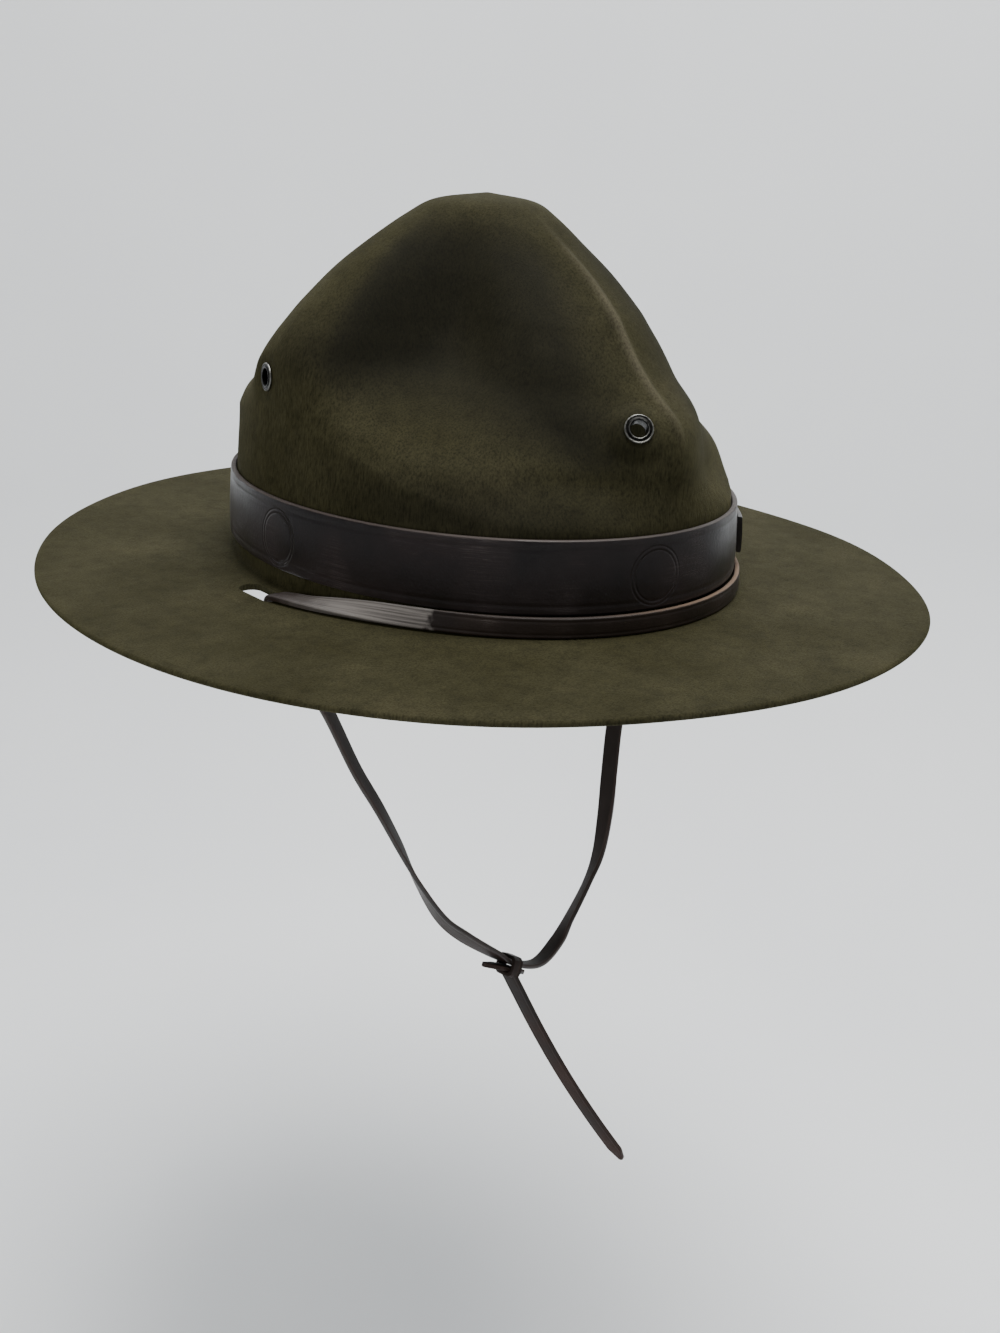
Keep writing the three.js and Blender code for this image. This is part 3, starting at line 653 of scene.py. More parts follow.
# Painted shade, nearly black, darkens the dents and two spots, and a painted highlight of paler wool
# runs along the front ridge
hollow = node(tree, "Attribute", attribute_name="hollow").outputs["Fac"]
shade = node(tree, "Math", {0: hollow, 1: 0.74}, operation="MULTIPLY")
with_painted_shade = node(tree, "Mix", {0: shade.outputs[0], 6: tinted.outputs[2], 7: colour("#131310")},
             data_type="RGBA")
# The ridge share mixes a painted highlight of paler wool into the felt's colour
ridge = node(tree, "Attribute", attribute_name="rubbed_ridge").outputs["Fac"]
pale = node(tree, "Math", {0: ridge, 1: fibre.outputs["Fac"]}, operation="MULTIPLY")
pale_edges = node(tree, "Mix", {0: pale.outputs[0], 6: with_painted_shade.outputs[2], 7: colour("#615c4e")},
            data_type="RGBA")
nap = node(tree, "Bump", {
    "Height": fibre.outputs["Fac"], "Strength": 0.35, "Distance": 0.4 * MM,
})
dimple = node(tree, "Bump", {
    "Height": patch.outputs["Fac"], "Strength": 0.2, "Distance": 0.8 * MM,
    "Normal": nap.outputs[0],
})
surface = node(tree, "BsdfPrincipled", {
    "Base Color": pale_edges.outputs[2], "Roughness": 0.92, "IOR": 1.5, "Specular IOR Level": 0.1,
    "Sheen Weight": 0.07, "Sheen Roughness": 0.5, "Sheen Tint": colour("#8c8648"),
    "Normal": dimple.outputs[0],
})
node(tree, "OutputMaterial", {"Surface": surface.outputs[0]})
finished(felt, felt_wool, "felt", "felt_body")

# %% [markdown]
# ## The leather band
# The band is one strip of harness leather about 25 mm tall and 2 mm thick, wrapped round the foot
# of the crown. Its section is drawn as a rounded rectangle with a scored line near each long edge,
# and led round the oval, standing off the felt by a hair.

# %% Band section and skin
BAND_BOTTOM, BAND_HEIGHT, BAND_THICK = 8.7, 24.7, 2.0
BAND_CORNER, BAND_STEPS = 0.55, 480
SCORE_HALF_WIDTH, SWELL = 0.35, 0.12


def wall_point(angle, height, off):
    """Point off the crown's wall by a distance, straight out from the oval."""
    out = np.stack([
        np.cos(angle) / CROWN_HALF_WIDTH, np.sin(angle) / CROWN_HALF_LENGTH, 0 * angle,
    ], -1)
    out /= np.linalg.norm(out, axis=-1, keepdims=True)
    return crown_point(angle, station_at(height)) + out * off


def rounded_section(width, thick, radius, score=0.0, score_in=3.0, fine=44):
    """A flat strip's section: (across, off) from its inner face, grain face first.

    The score is the depth of a line pressed in along each long edge.
    """
    across = np.linspace(radius, width - radius, fine)
    groove = sum(
        score * np.exp(-(((across - line) / SCORE_HALF_WIDTH) ** 2))
        for line in (score_in, width - score_in)
    )
    swell = SWELL * np.sin(math.pi * across / width)
    grain = [(a, thick + s - g) for a, s, g in zip(across, swell, groove)]
    bend = np.linspace(0, math.pi / 2, 5)[1:]
    corner = [(math.sin(b), math.cos(b)) for b in bend]
    section = grain
    section += [(width - radius + radius * s, thick - radius + radius * c) for s, c in corner]
    section += [(width - radius + radius * c, radius - radius * s) for s, c in corner]
    section += [(radius, 0)]
    section += [(radius - radius * s, radius - radius * c) for s, c in corner]
    section += [(radius - radius * c, thick - radius + radius * s) for s, c in corner[:-1]]
    return np.array(section)


section = rounded_section(BAND_HEIGHT, BAND_THICK, BAND_CORNER, score=0.22, score_in=3.0)
round_angles = np.linspace(FRONT, FRONT + 2 * math.pi, BAND_STEPS, endpoint=False)
band_rings = np.stack([
    wall_point(round_angles, BAND_BOTTOM + up + 0 * round_angles, FIT_GAP + off)
    for up, off in section
], 1)
# The band's length is taken along the middle of its grain face
grain_middle = 20
band_along = lengths_round(band_rings[:, grain_middle])
band = skin(
    "leather_band", band_rings, joined=True, along=band_along, across=lengths_round(section),
)
print("band", round(band_along[-1]), "mm round")

# %% [markdown]
# ## Harness leather as a material
# The band is vegetable-tanned cowhide dyed nearly black and waxed. Wax gives a soft shine, years
# of wear rub the dye off the cut edges, and the grain shows as fine pores. The two surface lengths
# stored as UVs put those things where they belong: edges by the distance across the strip,
# creases by the distance along it.

# %% Patterns on a leather strip
# Sizes in mm. Real pores are about 0.2 mm apart, too fine to show, so they are drawn coarser
STAIN_SIZE, RAGGED_SIZE, GRAIN_SIZE, PORE_SIZE = 22.22, 3.846, 2, 0.9091
SCRATCH_LENGTH, SCRATCH_SPACING = 33.33, 0.6667
RING_RADII = (10, 8.6)
SCRATCHED, FLESH_SIDE, KEPT_EDGE = "#4d4643", "#1d1613", "#2f2521"


def scratches(tree, spot, stain):
    """Share of fine scratches along a strip, gathered in patches, and the streaks under them."""
    long_way = node(tree, "Mapping", {
        "Vector": spot, "Scale": (1 / SCRATCH_LENGTH, 1 / SCRATCH_SPACING, 1),
    })
    streaks = node(tree, "TexNoise", {
        "Vector": long_way.outputs[0], "Scale": 1, "Detail": 4, "Distortion": 0.4,
    }).outputs["Fac"]
    thin = node(tree, "ValToRGB", {"Fac": streaks}, stops=[
        (0.475, (0, 0, 0, 1)), (0.5, (1, 1, 1, 1)), (0.525, (0, 0, 0, 1)),
    ])
    patches = node(tree, "MapRange", {
        "Value": stain, "From Min": 0.5, "From Max": 0.7, "To Max": 0.5,
    })
    share = node(tree, "Math", {0: thin.outputs[0], 1: patches.outputs[0]}, operation="MULTIPLY")
    return share.outputs[0], streaks


def worn_edges(tree, across, ragged, face, thick):
    """Shares of a strip's cut edges and of its flesh side.

    Both go by the distance round the strip from the middle of its grain face, in mm.
    """
    centred = node(tree, "Math", {0: across, 1: face / 2}, operation="SUBTRACT")
    away = node(tree, "Math", {0: centred.outputs[0], 1: face + thick}, operation="PINGPONG")
    pulled = node(tree, "Math", {0: ragged, 1: 0.8, 2: away.outputs[0]},
                  operation="MULTIPLY_ADD").outputs[0]
    edge, flesh = (
        node(tree, "MapRange", {"Value": pulled, "From Min": first, "From Max": last}).outputs[0]
        for first, last in (
            (face / 2 + 0.45, face / 2 + 1), (face / 2 + thick + 0.2, face / 2 + thick + 0.8),
        )
    )
    return edge, flesh


def edge_colour(tree, place, edge_tone):
    """The cut edge's colour: its dye is rubbed off most at the front and the wearer's left."""
    where = node(tree, "SeparateXYZ", {0: place})
    leftward = node(tree, "MapRange", {
        "Value": where.outputs["X"], "From Min": -35 * MM, "From Max": 10 * MM,
    })
    over_brim = node(tree, "MapRange", {
        "Value": where.outputs["Z"], "From Min": -5 * MM, "From Max": 0,
    })
    handled = node(tree, "Math", {0: leftward.outputs[0], 1: over_brim.outputs[0]},
                   operation="MULTIPLY")
    return node(tree, "Mix", {
        0: handled.outputs[0], 6: colour(KEPT_EDGE), 7: colour(edge_tone),
    }, data_type="RGBA").outputs[2]


def pressed_rings(tree, spot, marks, height):
    """A height with ring-shaped grooves pressed in round each (along, across) mark."""
    for mark in marks:
        reach = node(tree, "VectorMath", {0: spot, 1: (*mark, 0)}, operation="DISTANCE")
        for radius in RING_RADII:
            off = node(tree, "Math", {0: reach.outputs["Value"], 1: radius}, operation="SUBTRACT")
            near = node(tree, "Math", {0: off.outputs[0]}, operation="ABSOLUTE")
            groove = node(tree, "MapRange", {
                "Value": near.outputs[0], "From Min": 0.1, "From Max": 0.55,
                "To Min": -1, "To Max": 0,
            })
            height = node(tree, "Math", {0: height, 1: groove.outputs[0]},
                          operation="ADD").outputs[0]
    return height


def rubbed_and_highlit_stretch(tree, along, ragged, first, last):
    """Share of a stretch of a strip, fading in and out over some mm with a ragged edge."""
    wander = node(tree, "Math", {0: ragged, 1: 14, 2: along}, operation="MULTIPLY_ADD").outputs[0]
    starts = node(tree, "MapRange", {
        "Value": wander, "From Min": first + 5, "From Max": first + 8,
    })
    ends = node(tree, "MapRange", {
        "Value": wander, "From Min": last, "From Max": last + 20, "To Min": 1, "To Max": 0,
    })
    share = node(tree, "Math", {0: starts.outputs[0], 1: ends.outputs[0]}, operation="MULTIPLY")
    return share.outputs[0]


# %% Leather material maker
def leather(name, dark, mid, edge_tone, face, thick, rough, marks=(), polish_and_highlight=None, shine=0.6):
    """Dyed leather for a strip whose grain face and thickness are given in mm.

    Dark and mid are the dye's two tones, and the edge tone is bare leather. Rings are pressed in
    round each (along, across) mark. A stretch between two given mm along the strip is rubbed smooth
    and painted a paler grey as a highlight, and shine is how strongly the surface mirrors.
    """
    made, tree = empty_material(name)
    place = node(tree, "TexCoord").outputs["Object"]
    spot = node(tree, "UVMap", uv_map="surface_mm").outputs[0]
    parts = node(tree, "SeparateXYZ", {0: spot})
    stain, ragged, grain = (
        node(tree, "TexNoise", {
            "Vector": place, "Scale": 1 / (size * MM), "Detail": detail,
        }).outputs["Fac"]
        for size, detail in ((STAIN_SIZE, 4), (RAGGED_SIZE, 4), (GRAIN_SIZE, 5))
    )
    pores = node(tree, "TexVoronoi", {"Vector": place, "Scale": 1 / (PORE_SIZE * MM)})
    dyed = node(tree, "ValToRGB", {"Fac": stain}, stops=[
        (0.35, colour(dark)), (0.68, colour(mid)),
    ])
    scratched, streaks = scratches(tree, spot, stain)
    pale_edges, flesh = worn_edges(tree, parts.outputs["Y"], ragged, face, thick)
    tone = dyed.outputs[0]
    for share, over in (
        (scratched, colour(SCRATCHED)), (pale_edges, edge_colour(tree, place, edge_tone)),
        (flesh, colour(FLESH_SIDE)),
    ):
        tone = node(tree, "Mix", {0: share, 6: tone, 7: over}, data_type="RGBA").outputs[2]

    # Bumps lie on each other: scratches and rings, then pores, then wrinkles of the grain
    height = node(tree, "Math", {0: scratched, 1: -0.5}, operation="MULTIPLY").outputs[0]
    relief = node(tree, "Bump", {
        "Height": pressed_rings(tree, spot, marks, height), "Strength": 0.55,
        "Distance": 0.3 * MM,
    })
    for pattern, strength, depth in (
        (pores.outputs["Distance"], 0.12, 0.2 * MM), (grain, 0.2, 0.3 * MM),
    ):
        relief = node(tree, "Bump", {
            "Height": pattern, "Strength": strength, "Distance": depth,
            "Normal": relief.outputs[0],
        })
    gloss = node(tree, "MapRange", {
        "Value": stain, "From Min": 0.3, "From Max": 0.7,
        "To Min": rough - 0.06, "To Max": rough + 0.12,
    })
    gloss = node(tree, "Math", {0: pale_edges, 1: 0.3, 2: gloss.outputs[0]}, operation="MULTIPLY_ADD")
    if polish_and_highlight:
        polish_and_highlight_share = rubbed_and_highlit_stretch(tree, parts.outputs["X"], ragged, *polish_and_highlight)
        # On this stretch the grain is rubbed smoother, and its streaky pale grey colour is a painted
        # highlight
        painted_highlight_streaks = node(tree, "ValToRGB", {"Fac": streaks}, stops=[
            (0.35, colour("#45413f")), (0.6, colour("#6d6966")),
        ])
        tone = node(tree, "Mix", {0: polish_and_highlight_share, 6: tone, 7: painted_highlight_streaks.outputs[0]},
                    data_type="RGBA").outputs[2]
        gloss = node(tree, "Math", {0: polish_and_highlight_share, 1: -0.08, 2: gloss.outputs[0]},
                     operation="MULTIPLY_ADD")
    surface = node(tree, "BsdfPrincipled", {
        "Base Color": tone, "Roughness": gloss.outputs[0], "IOR": 1.5,
        "Specular IOR Level": shine, "Normal": relief.outputs[0],
    })
    node(tree, "OutputMaterial", {"Surface": surface.outputs[0]})
    return made


def along_band(turn):
    """Length along the band at a turn in degrees from the front ridge."""
    turns = np.append(round_angles - round_angles[0], 2 * math.pi)
    return np.interp(math.radians(turn) % (2 * math.pi), turns, band_along)


# %% Band leather
RING_TURNS, RING_UP = (-7.5, -91), 10.8
band_leather = leather(
    "waxed_black_brown_harness_leather", "#130f10", "#221b1c", "#332d2b",
    BAND_HEIGHT - 2 * BAND_CORNER, BAND_THICK, 0.36,
    marks=[(along_band(turn), RING_UP) for turn in RING_TURNS],
)
finished(band, band_leather, "band_leather", "hat_band")

# %% [markdown]
# ## The keeper
# A short loop of the same leather lies over the band's joint and holds its loose end down. It is
# the band's section again, only thinner and shorter, led along a few degrees of the oval.

# %% Keeper
KEEPER_BOTTOM, KEEPER_HEIGHT, KEEPER_THICK, KEEPER_TURNS = 13.5, 13.5, 1.8, (36, 47)
KEEPER_OFF = BAND_THICK + 0.6
keeper_section = rounded_section(KEEPER_HEIGHT, KEEPER_THICK, 0.5, fine=14)
keeper_angles = FRONT + np.radians(np.linspace(*KEEPER_TURNS, 18))
keeper_rings = np.stack([
    wall_point(keeper_angles, KEEPER_BOTTOM + up + 0 * keeper_angles, KEEPER_OFF + off)
    for up, off in keeper_section
], 1)
keeper = skin(
    "leather_keeper", keeper_rings, tips=[keeper_rings[0].mean(0), keeper_rings[-1].mean(0)],
    across=lengths_round(keeper_section),
)
finished(keeper, band_leather, "band_leather", "band_keeper")

# %% [markdown]
# ## The chin strap
# The strap is a flat leather lace 7 mm wide. It stands on its edge round the front of the crown,
# turns flat, dives through a slot on each side of the brim, and hangs down on both sides to meet
# at the bottom of its loop. A strap bends easily one way only, so its path carries a direction for
# its grain side at every station, and the section is turned to follow it.

# %% Strap path
STRAP_WIDTH, STRAP_THICK, STRAP_CORNER = 7.0, 1.8, 0.45
SLOT_BEND, CHIN_FORWARD, CHIN_DROP = 3.0, 47.5, 163.5
TAIL_LENGTH, TAIL_TAPER, END_LENGTH = 107, 9, 21

strap_on_crown = [
    # turn from the front ridge, distance off the wall as a share of the strap's width, lean of the
    # grain face from facing out (0) to facing up (90)
    (0, 0.543, 0), (13, 0.543, 0), (26, 0.543, 0), (39, 0.543, 4),
    (51, 0.557, 14), (62, 0.614, 32), (71, 0.757, 56), (79, 1.014, 78),
]
strap_below = [
    # shares of the slot's distance aside, of the way forward and of the drop, then the grain
    # face's turn from facing out of the loop (0) to facing back (90)
    (1, 0.116, 0.02, 90), (0.962, 0.14, 0.08, 78), (0.886, 0.19, 0.171, 62),
    (0.802, 0.248, 0.281, 52), (0.727, 0.385, 0.413, 49), (0.653, 0.484, 0.511, 45),
    (0.593, 0.581, 0.603, 38), (0.526, 0.693, 0.711, 10), (0.444, 0.792, 0.807, -14),
    (0.353, 0.853, 0.865, -28), (0.213, 0.924, 0.935, -20), (0.137, 0.96, 0.971, 0), (0, 1, 1, 0),
]


def unit(vector):
    """A vector's direction, one long."""
    return np.asarray(vector, float) / np.linalg.norm(vector)


def leaned_height(lean):
    """Height of the strap's middle when it leans and its lower edge rests on the brim."""
    reach = (STRAP_WIDTH * math.cos(lean) + STRAP_THICK * math.sin(lean)) / 2
    return FELT / 2 + FIT_GAP + reach


right_half = []
for turn, off, lean in strap_on_crown:
    angle, lean = FRONT - math.radians(turn), math.radians(lean)
    out = unit([math.cos(angle) / CROWN_HALF_WIDTH, math.sin(angle) / CROWN_HALF_LENGTH, 0])
    spot = np.array([
        CROWN_HALF_WIDTH * math.cos(angle), CROWN_HALF_LENGTH * math.sin(angle),
        leaned_height(lean),
    ]) + out * STRAP_WIDTH * off
    face = out * math.cos(lean) + np.array([0, 0, math.sin(lean)])
    right_half.append((spot, face))
# Over the front end of the slot, the strap bends down through it
for bend in np.radians([0, 45, 80]):
    right_half.append((
        np.array([
            -SLOT_SIDE, SLOT_FRONT + FIT_GAP + SLOT_BEND * math.sin(bend),
            leaned_height(math.pi / 2) - SLOT_BEND * (1 - math.cos(bend)),
        ]),
        np.array([0, math.sin(bend), math.cos(bend)]),
    ))
below = [
    np.array([-SLOT_SIDE * s, -CHIN_FORWARD * f, -CHIN_DROP * d]) for s, f, d, _ in strap_below
]
loop_middle = np.array([0, -CHIN_FORWARD / 2, -CHIN_DROP / 3])
for index, (*_, turn) in enumerate(strap_below):
    before = below[max(index - 1, 0)]
    after = below[index + 1] if index + 1 < len(below) else before * (-1, 1, 1)
    along = unit(after - before)
    out = below[index] - loop_middle
    out = unit(out - along * out.dot(along))
    backward = np.cross(out, along)
    if backward[1] < 0:
        backward = -backward
    turn = math.radians(turn)
    right_half.append((below[index], out * math.cos(turn) + backward * math.sin(turn)))
flip = np.array([-1, 1, 1])
left_half = [(spot * flip, face * flip) for spot, face in right_half[-2:0:-1]]
stations = right_half + left_half
print("strap stations", len(stations))


# %% A smooth line through stations, and a strap led along it
def smooth_line(points, joined, shares):
    """Points on a centripetal smooth line through stations, at even shares of their count."""
    points = np.asarray(points, float)
    n = len(points)
    place = np.asarray(shares) * (n if joined else n - 1)
    i = np.floor(place).astype(int)
    if not joined:
        i = np.minimum(i, n - 2)
    t = (place - i)[:, None]
    if joined:
        p0, p1, p2, p3 = (points[(i + k) % n] for k in (-1, 0, 1, 2))
    else:
        longer = np.vstack([2 * points[0] - points[1], points, 2 * points[-1] - points[-2]])
        p0, p1, p2, p3 = (longer[i + 1 + k] for k in (-1, 0, 1, 2))
    d0, d1, d2 = (
        np.maximum(np.linalg.norm(b - a, axis=1)[:, None] ** 0.5, 1e-4)
        for a, b in ((p0, p1), (p1, p2), (p2, p3))
    )
    m1 = ((p1 - p0) / d0 - (p2 - p0) / (d0 + d1) + (p2 - p1) / d1) * d1
    m2 = ((p2 - p1) / d1 - (p3 - p1) / (d1 + d2) + (p3 - p2) / d2) * d1
    return (
        (2 * t**3 - 3 * t**2 + 1) * p1 + (t**3 - 2 * t**2 + t) * m1
        + (3 * t**2 - 2 * t**3) * p2 + (t**3 - t**2) * m2
    )


def strap(name, stations, joined, steps, width_at=None):
    """A flat strap along stations of (point, grain direction), its width changed by width_at."""
    shares = np.linspace(0, 1, steps, endpoint=not joined)
    line = smooth_line([s[0] for s in stations], joined, shares)
    face = smooth_line([s[1] for s in stations], joined, shares)
    if joined:
        along = np.roll(line, -1, 0) - np.roll(line, 1, 0)
    else:
        along = np.gradient(line, axis=0)
    along /= np.linalg.norm(along, axis=1, keepdims=True)
    face -= along * (face * along).sum(1, keepdims=True)
    face /= np.linalg.norm(face, axis=1, keepdims=True)
    side = np.cross(along, face)
    strip = rounded_section(
        STRAP_WIDTH, STRAP_THICK, STRAP_CORNER, score=0.1, score_in=1.3, fine=24,
    )
    grow = np.ones(steps) if width_at is None else np.array([width_at(s) for s in shares])
    rings = (
        line[:, None]
        + side[:, None] * ((strip[:, 0] - STRAP_WIDTH / 2)[None, :] * grow[:, None])[..., None]
        + face[:, None] * (strip[:, 1] - STRAP_THICK / 2)[None, :, None]
    )
    along_mm = lengths_round(line)
    tips = None if joined else [rings[0].mean(0), rings[-1].mean(0)]
    made = skin(
        name, rings, joined=joined, tips=tips, along=along_mm, across=lengths_round(strip),
    )
    print(name, round(along_mm[-1 if joined else -2]), "mm long")
    return made


# %% [markdown]
# ## Lace leather as a material
# The strap is oiled lace leather, browner and duller than the band's waxed leather. It was pulled
# through its slots for years, so its grain is rubbed smooth on one stretch at the wearer's right,
# and that stretch is also painted a paler grey as a highlight. The ends were never rubbed, so they
# get a duller leather of their own.

# %% Strap leather and the loop
STRAP_FACE = STRAP_WIDTH - 2 * STRAP_CORNER
strap_leather = leather(
    "oiled_dark_brown_lace_leather", "#191311", "#251b17", "#64503f", STRAP_FACE, STRAP_THICK,
    0.42, polish_and_highlight=(90, 134),
)
lace_leather = leather(
    "oiled_dark_brown_lace_leather_ends", "#160e0b", "#2b1a14", "#4a3027", STRAP_FACE,
    STRAP_THICK, 0.6, shine=0.3,
)
LOOP_STEPS = 900
loop = strap("chin_strap_loop", stations, True, LOOP_STEPS)
finished(loop, strap_leather, "strap_leather", "chin_strap")

# %% [markdown]
# ## The knot and the free end
# At the bottom of the loop one end of the strap is doubled back under the other, a turn of leather
# holds both, and the rest hangs free. Each is the same strap section again, so they read as one.

# %% Doubled end and wrap
knot_spot, knot_face = right_half[-2]
knot_along = unit(right_half[-1][0] - right_half[-3][0])
knot_face = unit(knot_face - knot_along * knot_face.dot(knot_along))
knot_across = np.cross(knot_along, knot_face)
LAYER, KNOT_GAP, TAIL_HANG, END_LIFT = STRAP_THICK + 2 * FIT_GAP, 0.6, 2.4, 1.5
doubled = [
    (knot_spot + knot_along * END_LENGTH * s + knot_face * (LAYER + END_LIFT * s * s), knot_face)
    for s in (-0.62, -0.2, 0.1, 0.38)
]
end_piece = strap(
    "strap_doubled_end", doubled, False, 60,
    width_at=lambda s: min(1, 0.35 + 3 * min(s, 1 - s)),
)
finished(end_piece, lace_leather, "strap_leather", "strap_end")

wrap_half, wrap_low = STRAP_WIDTH / 2 + KNOT_GAP, STRAP_THICK / 2 + KNOT_GAP
wrap_high = LAYER + wrap_low
WRAP_THICK, WRAP_LENGTH, WRAP_CORNER = 1.5, 5.0, 0.4
corner = np.array([
    (-wrap_half, -wrap_low), (wrap_half, -wrap_low), (wrap_half, wrap_high),
    (-wrap_half, wrap_high),
])
ring_line = []
for a, b in zip(corner, np.roll(corner, -1, 0)):
    for t in np.linspace(0.12, 0.88, 8):
        ring_line.append(a + (b - a) * t)
ring_line = np.array(ring_line)
ring_out = np.roll(ring_line, -1, 0) - np.roll(ring_line, 1, 0)
ring_out = np.stack([ring_out[:, 1], -ring_out[:, 0]], -1)
ring_out /= np.linalg.norm(ring_out, axis=1, keepdims=True)
# The wrap's own section goes round the two straps, along a rectangle with cut corners
wrap_strip = rounded_section(WRAP_LENGTH, WRAP_THICK, WRAP_CORNER, fine=12)
wrap_rings = np.array([
    [
        knot_spot + knot_along * (up - WRAP_LENGTH / 2)
        + knot_across * (p + o * off)[0] + knot_face * (p + o * off)[1]
        for up, off in wrap_strip
    ]
    for p, o in zip(ring_line, ring_out)
])
wrap = skin("strap_wrap", wrap_rings, joined=True)
finished(wrap, lace_leather, "strap_leather", "strap_knot")

# %% Free end
TAIL_BOW, TAIL_SWING = 2, 3.5
tail_top = knot_spot + knot_face * (wrap_high + WRAP_THICK + TAIL_HANG)
tail_way, tail_face = unit([0.42, -0.3, -0.86]), unit([-0.93, -0.25, -0.25])
tail_aside = np.array([0.74, -0.67, 0])
tail_line = [
    (
        tail_top + tail_way * TAIL_LENGTH * s + tail_face * TAIL_BOW * math.sin(s * math.pi)
        + tail_aside * TAIL_SWING * (1 - s) ** 2,
        tail_face,
    )
    for s in (-0.05, 0.25, 0.5, 0.75, 1)
]
tail = strap(
    "strap_free_end", tail_line, False, 160,
    width_at=lambda s: min(1, 0.3 + (1 - s) * TAIL_LENGTH / TAIL_TAPER),
)
finished(tail, lace_leather, "strap_leather", "strap_tail")

# %% [markdown]
# ## Vent eyelets
# An eyelet is a thin metal tube rolled over a washer. Seen close it is a thin bright rim round a
# dull washer and a dark hole, so the profile has both rolls and is spun round its axis. It is
# stamped from brass and plated with nickel. Tarnish darkens the washer's hollow, the barrel is
# painted near black as shade inside the hole, and the two rolls are painted pale as highlights, so
# the colour goes by length along the profile.

# %% Eyelet profile and metal
profile = np.array([
    # radius, height over the felt
    (HOLE, -FELT - 1.2), (HOLE, 0.5), (2.95, 0.8), (3.15, 1.0), (3.4, 1.05), (3.65, 0.98),
    (3.85, 0.85), (4.15, 0.78), (4.4, 0.84), (4.6, 0.9), (4.78, 0.82), (4.88, 0.62),
    (FLANGE, FIT_GAP), (BARREL, FIT_GAP), (BARREL, -FELT - 0.7), (4.4, -FELT - 0.7),
    (4.4, -FELT - 1.2),
])
# Size of the haze, and the stretch of the profile that the tones run along, in mm
HAZE_SIZE, TONES_START, TONES_END = 1.111, 3, 7
nickel, tree = empty_material("tarnished_nickel_with_painted_shade_and_highlights")
place = node(tree, "TexCoord").outputs["Object"]
haze = node(tree, "TexNoise", {"Vector": place, "Scale": 1 / (HAZE_SIZE * MM), "Detail": 3})
spot = node(tree, "UVMap", uv_map="surface_mm").outputs[0]
parts = node(tree, "SeparateXYZ", {0: spot})
on_profile = node(tree, "MapRange", {
    "Value": parts.outputs["Y"], "From Min": TONES_START, "From Max": TONES_END,
})
# Near black paints shade in the barrel, and the two pale stops paint highlights on the inner and
# outer roll
tone = node(tree, "ValToRGB", {"Fac": on_profile.outputs[0]}, stops=[
    (0.32, colour("#050505")), (0.4, colour("#70706e")), (0.48, colour("#1e1e1d")),
    (0.68, colour("#181817")), (0.84, colour("#b8b8b4")), (0.95, colour("#3c3c3a")),
])
cloudy = node(tree, "ValToRGB", {"Fac": haze.outputs["Fac"]}, stops=[
    (0.3, colour("#8c8c8a")), (0.7, colour("#ffffff")),
])
hazed = node(tree, "Mix", {0: 1.0, 6: tone.outputs[0], 7: cloudy.outputs[0]},
             data_type="RGBA", blend_type="MULTIPLY")
dulled = node(tree, "MapRange", {
    "Value": haze.outputs["Fac"], "From Min": 0.3, "From Max": 0.7, "To Min": 0.3, "To Max": 0.5,
})
surface = node(tree, "BsdfPrincipled", {
    "Base Color": hazed.outputs[2], "Metallic": 0.9, "Roughness": dulled.outputs[0],
})
node(tree, "OutputMaterial", {"Surface": surface.outputs[0]})
print("eyelet profile", round(lengths_round(profile)[-1], 1), "mm round")

# %% Eyelets
SUNK, SPIN_STEPS = 0.15, 48
for name, (turn, height) in EYELETS.items():
    centre, outward = eyelet_seat(turn, height)
    first = unit(np.cross(outward, [0, 0, 1]))
    second = np.cross(outward, first)
    rings = np.array([
        [
            centre + outward * (up - SUNK) + (first * math.cos(a) + second * math.sin(a)) * radius
            for radius, up in profile
        ]
        for a in np.linspace(0, 2 * math.pi, SPIN_STEPS, endpoint=False)
    ])
    eyelet = skin(
        name.replace("eyelet", "vent_eyelet"), rings, joined=True, across=lengths_round(profile),
    )
    finished(eyelet, nickel, "eyelet_metal", name)

# %% [markdown]
# ## Floor
# The hat keeps the pose of a worn one, so it floats over a plain sheet of pale paper that curves up
# behind it. The sheet is a strip of faces along the camera's view, wide enough to fill the picture.

# %% Paper sweep
FLOOR_DROP, SWEEP_RADIUS, SWEEP_START, SWEEP_HALF_WIDTH = 0.16, 0.25, 0.5, 4
floor_z = solid_low.z - FLOOR_DROP
# Each point of the sweep's section is (distance ahead, height), in metres
sweep = [(-3, 0)]
sweep += [
    (SWEEP_START + SWEEP_RADIUS * math.sin(a), SWEEP_RADIUS - SWEEP_RADIUS * math.cos(a))
    for a in np.linspace(0, 1.57, 9)
]
sweep += [(SWEEP_START + SWEEP_RADIUS, 2.6)]
sheet_points, sheet_faces = [], []
ahead = -back.copy()
ahead.z = 0
ahead.normalize()
for index, (far, high) in enumerate(sweep):
    for side in (-SWEEP_HALF_WIDTH, SWEEP_HALF_WIDTH):
        spot = ahead * far + level * side
        sheet_points.append((spot.x, spot.y, floor_z + high))
    if index:
        k = index * 2
        sheet_faces.append((k - 2, k - 1, k + 1, k))
sheet_mesh = bpy.data.meshes.new("paper_sweep")
sheet_mesh.from_pydata(sheet_points, [], sheet_faces)
paper_sweep = dressed("paper_sweep", sheet_mesh, sharp=80)
PAPER_CLOUD_SIZE = 333.3
paper, tree = empty_material("matt_pale_paper")
place = node(tree, "TexCoord").outputs["Object"]
tooth = node(tree, "TexNoise", {
    "Vector": place, "Scale": 1 / (PAPER_CLOUD_SIZE * MM), "Detail": 3,
})
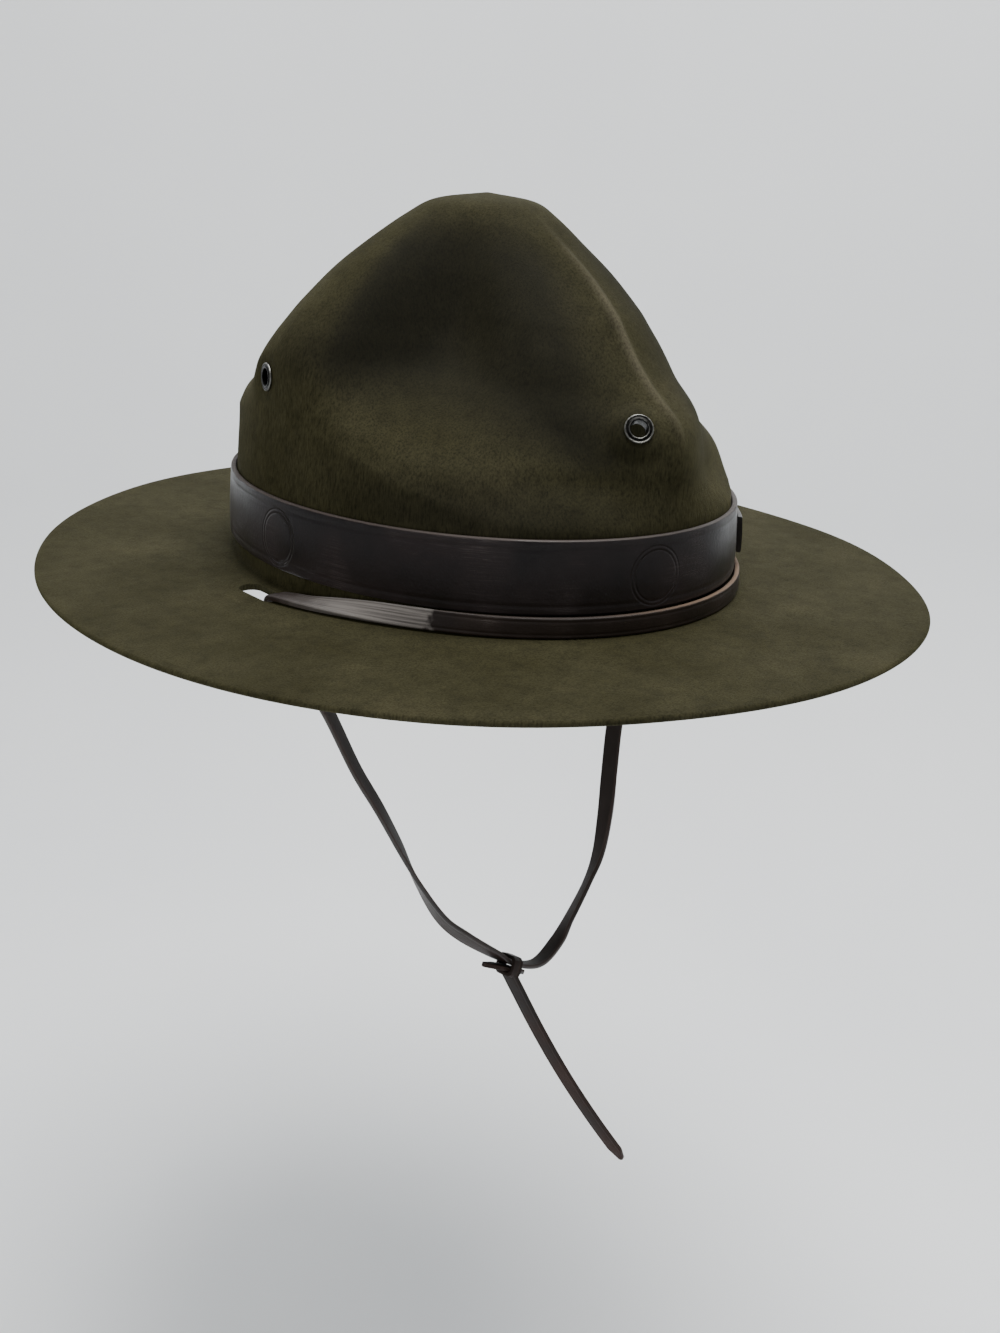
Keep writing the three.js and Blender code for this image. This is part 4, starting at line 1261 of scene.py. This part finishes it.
tone = node(tree, "ValToRGB", {"Fac": tooth.outputs["Fac"]}, stops=[
    (0.3, colour("#e3e6ea")), (0.7, colour("#e9ecef")),
])
surface = node(tree, "BsdfPrincipled", {"Base Color": tone.outputs[0], "Roughness": 0.9})
node(tree, "OutputMaterial", {"Surface": surface.outputs[0]})
paper_sweep.data.materials.append(paper)
paper_sweep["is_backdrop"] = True
print("paper sweep at", round(floor_z, 3), "m")

# %% [markdown]
# ## Light
# Felt needs gentle light that still has a direction. A wide softbox overhead does most of the work,
# and a lamp behind it lights the paper. A low lamp and a card on each side only lift the shade. Those
# three are hidden from reflections, because their round shapes would show in the waxed leather.

# %% Lamps and air
def soft_light(name, spot, target, size, power, tint, glossy=True):
    """A round soft lamp in metres and watts, aimed at a target."""
    data = bpy.data.lights.new(name, "AREA")
    data.shape, data.size, data.energy = "DISK", size, power
    data.color = colour(tint)[:3]
    lamp = bpy.data.objects.new(name, data)
    lamp.location = spot
    lamp.rotation_euler = (Vector(target) - Vector(spot)).to_track_quat("-Z", "Y").to_euler()
    lamp.visible_glossy = glossy
    bpy.context.scene.collection.objects.link(lamp)


soft_light("overhead_softbox", (0.1, -0.2, 1.48), (0, 0, 0.05), 1.1, 40, "#fffdf8")
soft_light("backdrop_light", (0.2, 0.3, 1.9), (0.55, 0.6, 0), 0.8, 8, "#f6f9ff")
soft_light("low_fill", (-0.45, -0.55, -0.15), (0.05, 0, -0.43), 0.5, 1.5, "#fbfcff", glossy=False)
soft_light("left_card", (-1.0, 0.3, 0.14), (0, 0, 0.05), 0.5, 5.5, "#fffdf8", glossy=False)
soft_light("right_card", (0.9, -0.75, 0.12), (0, 0, 0.03), 0.4, 4.5, "#fffdf8", glossy=False)
world = bpy.data.worlds.new("studio_air")
world.use_nodes = True
air = world.node_tree.nodes["Background"]
air.inputs["Color"].default_value = colour("#eef0f2")
air.inputs["Strength"].default_value = 0.2
bpy.context.scene.world = world
print("lamps", len(bpy.data.lights))

# %% The dressed box
low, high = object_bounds()
print("dressed box", tuple(low), tuple(high))
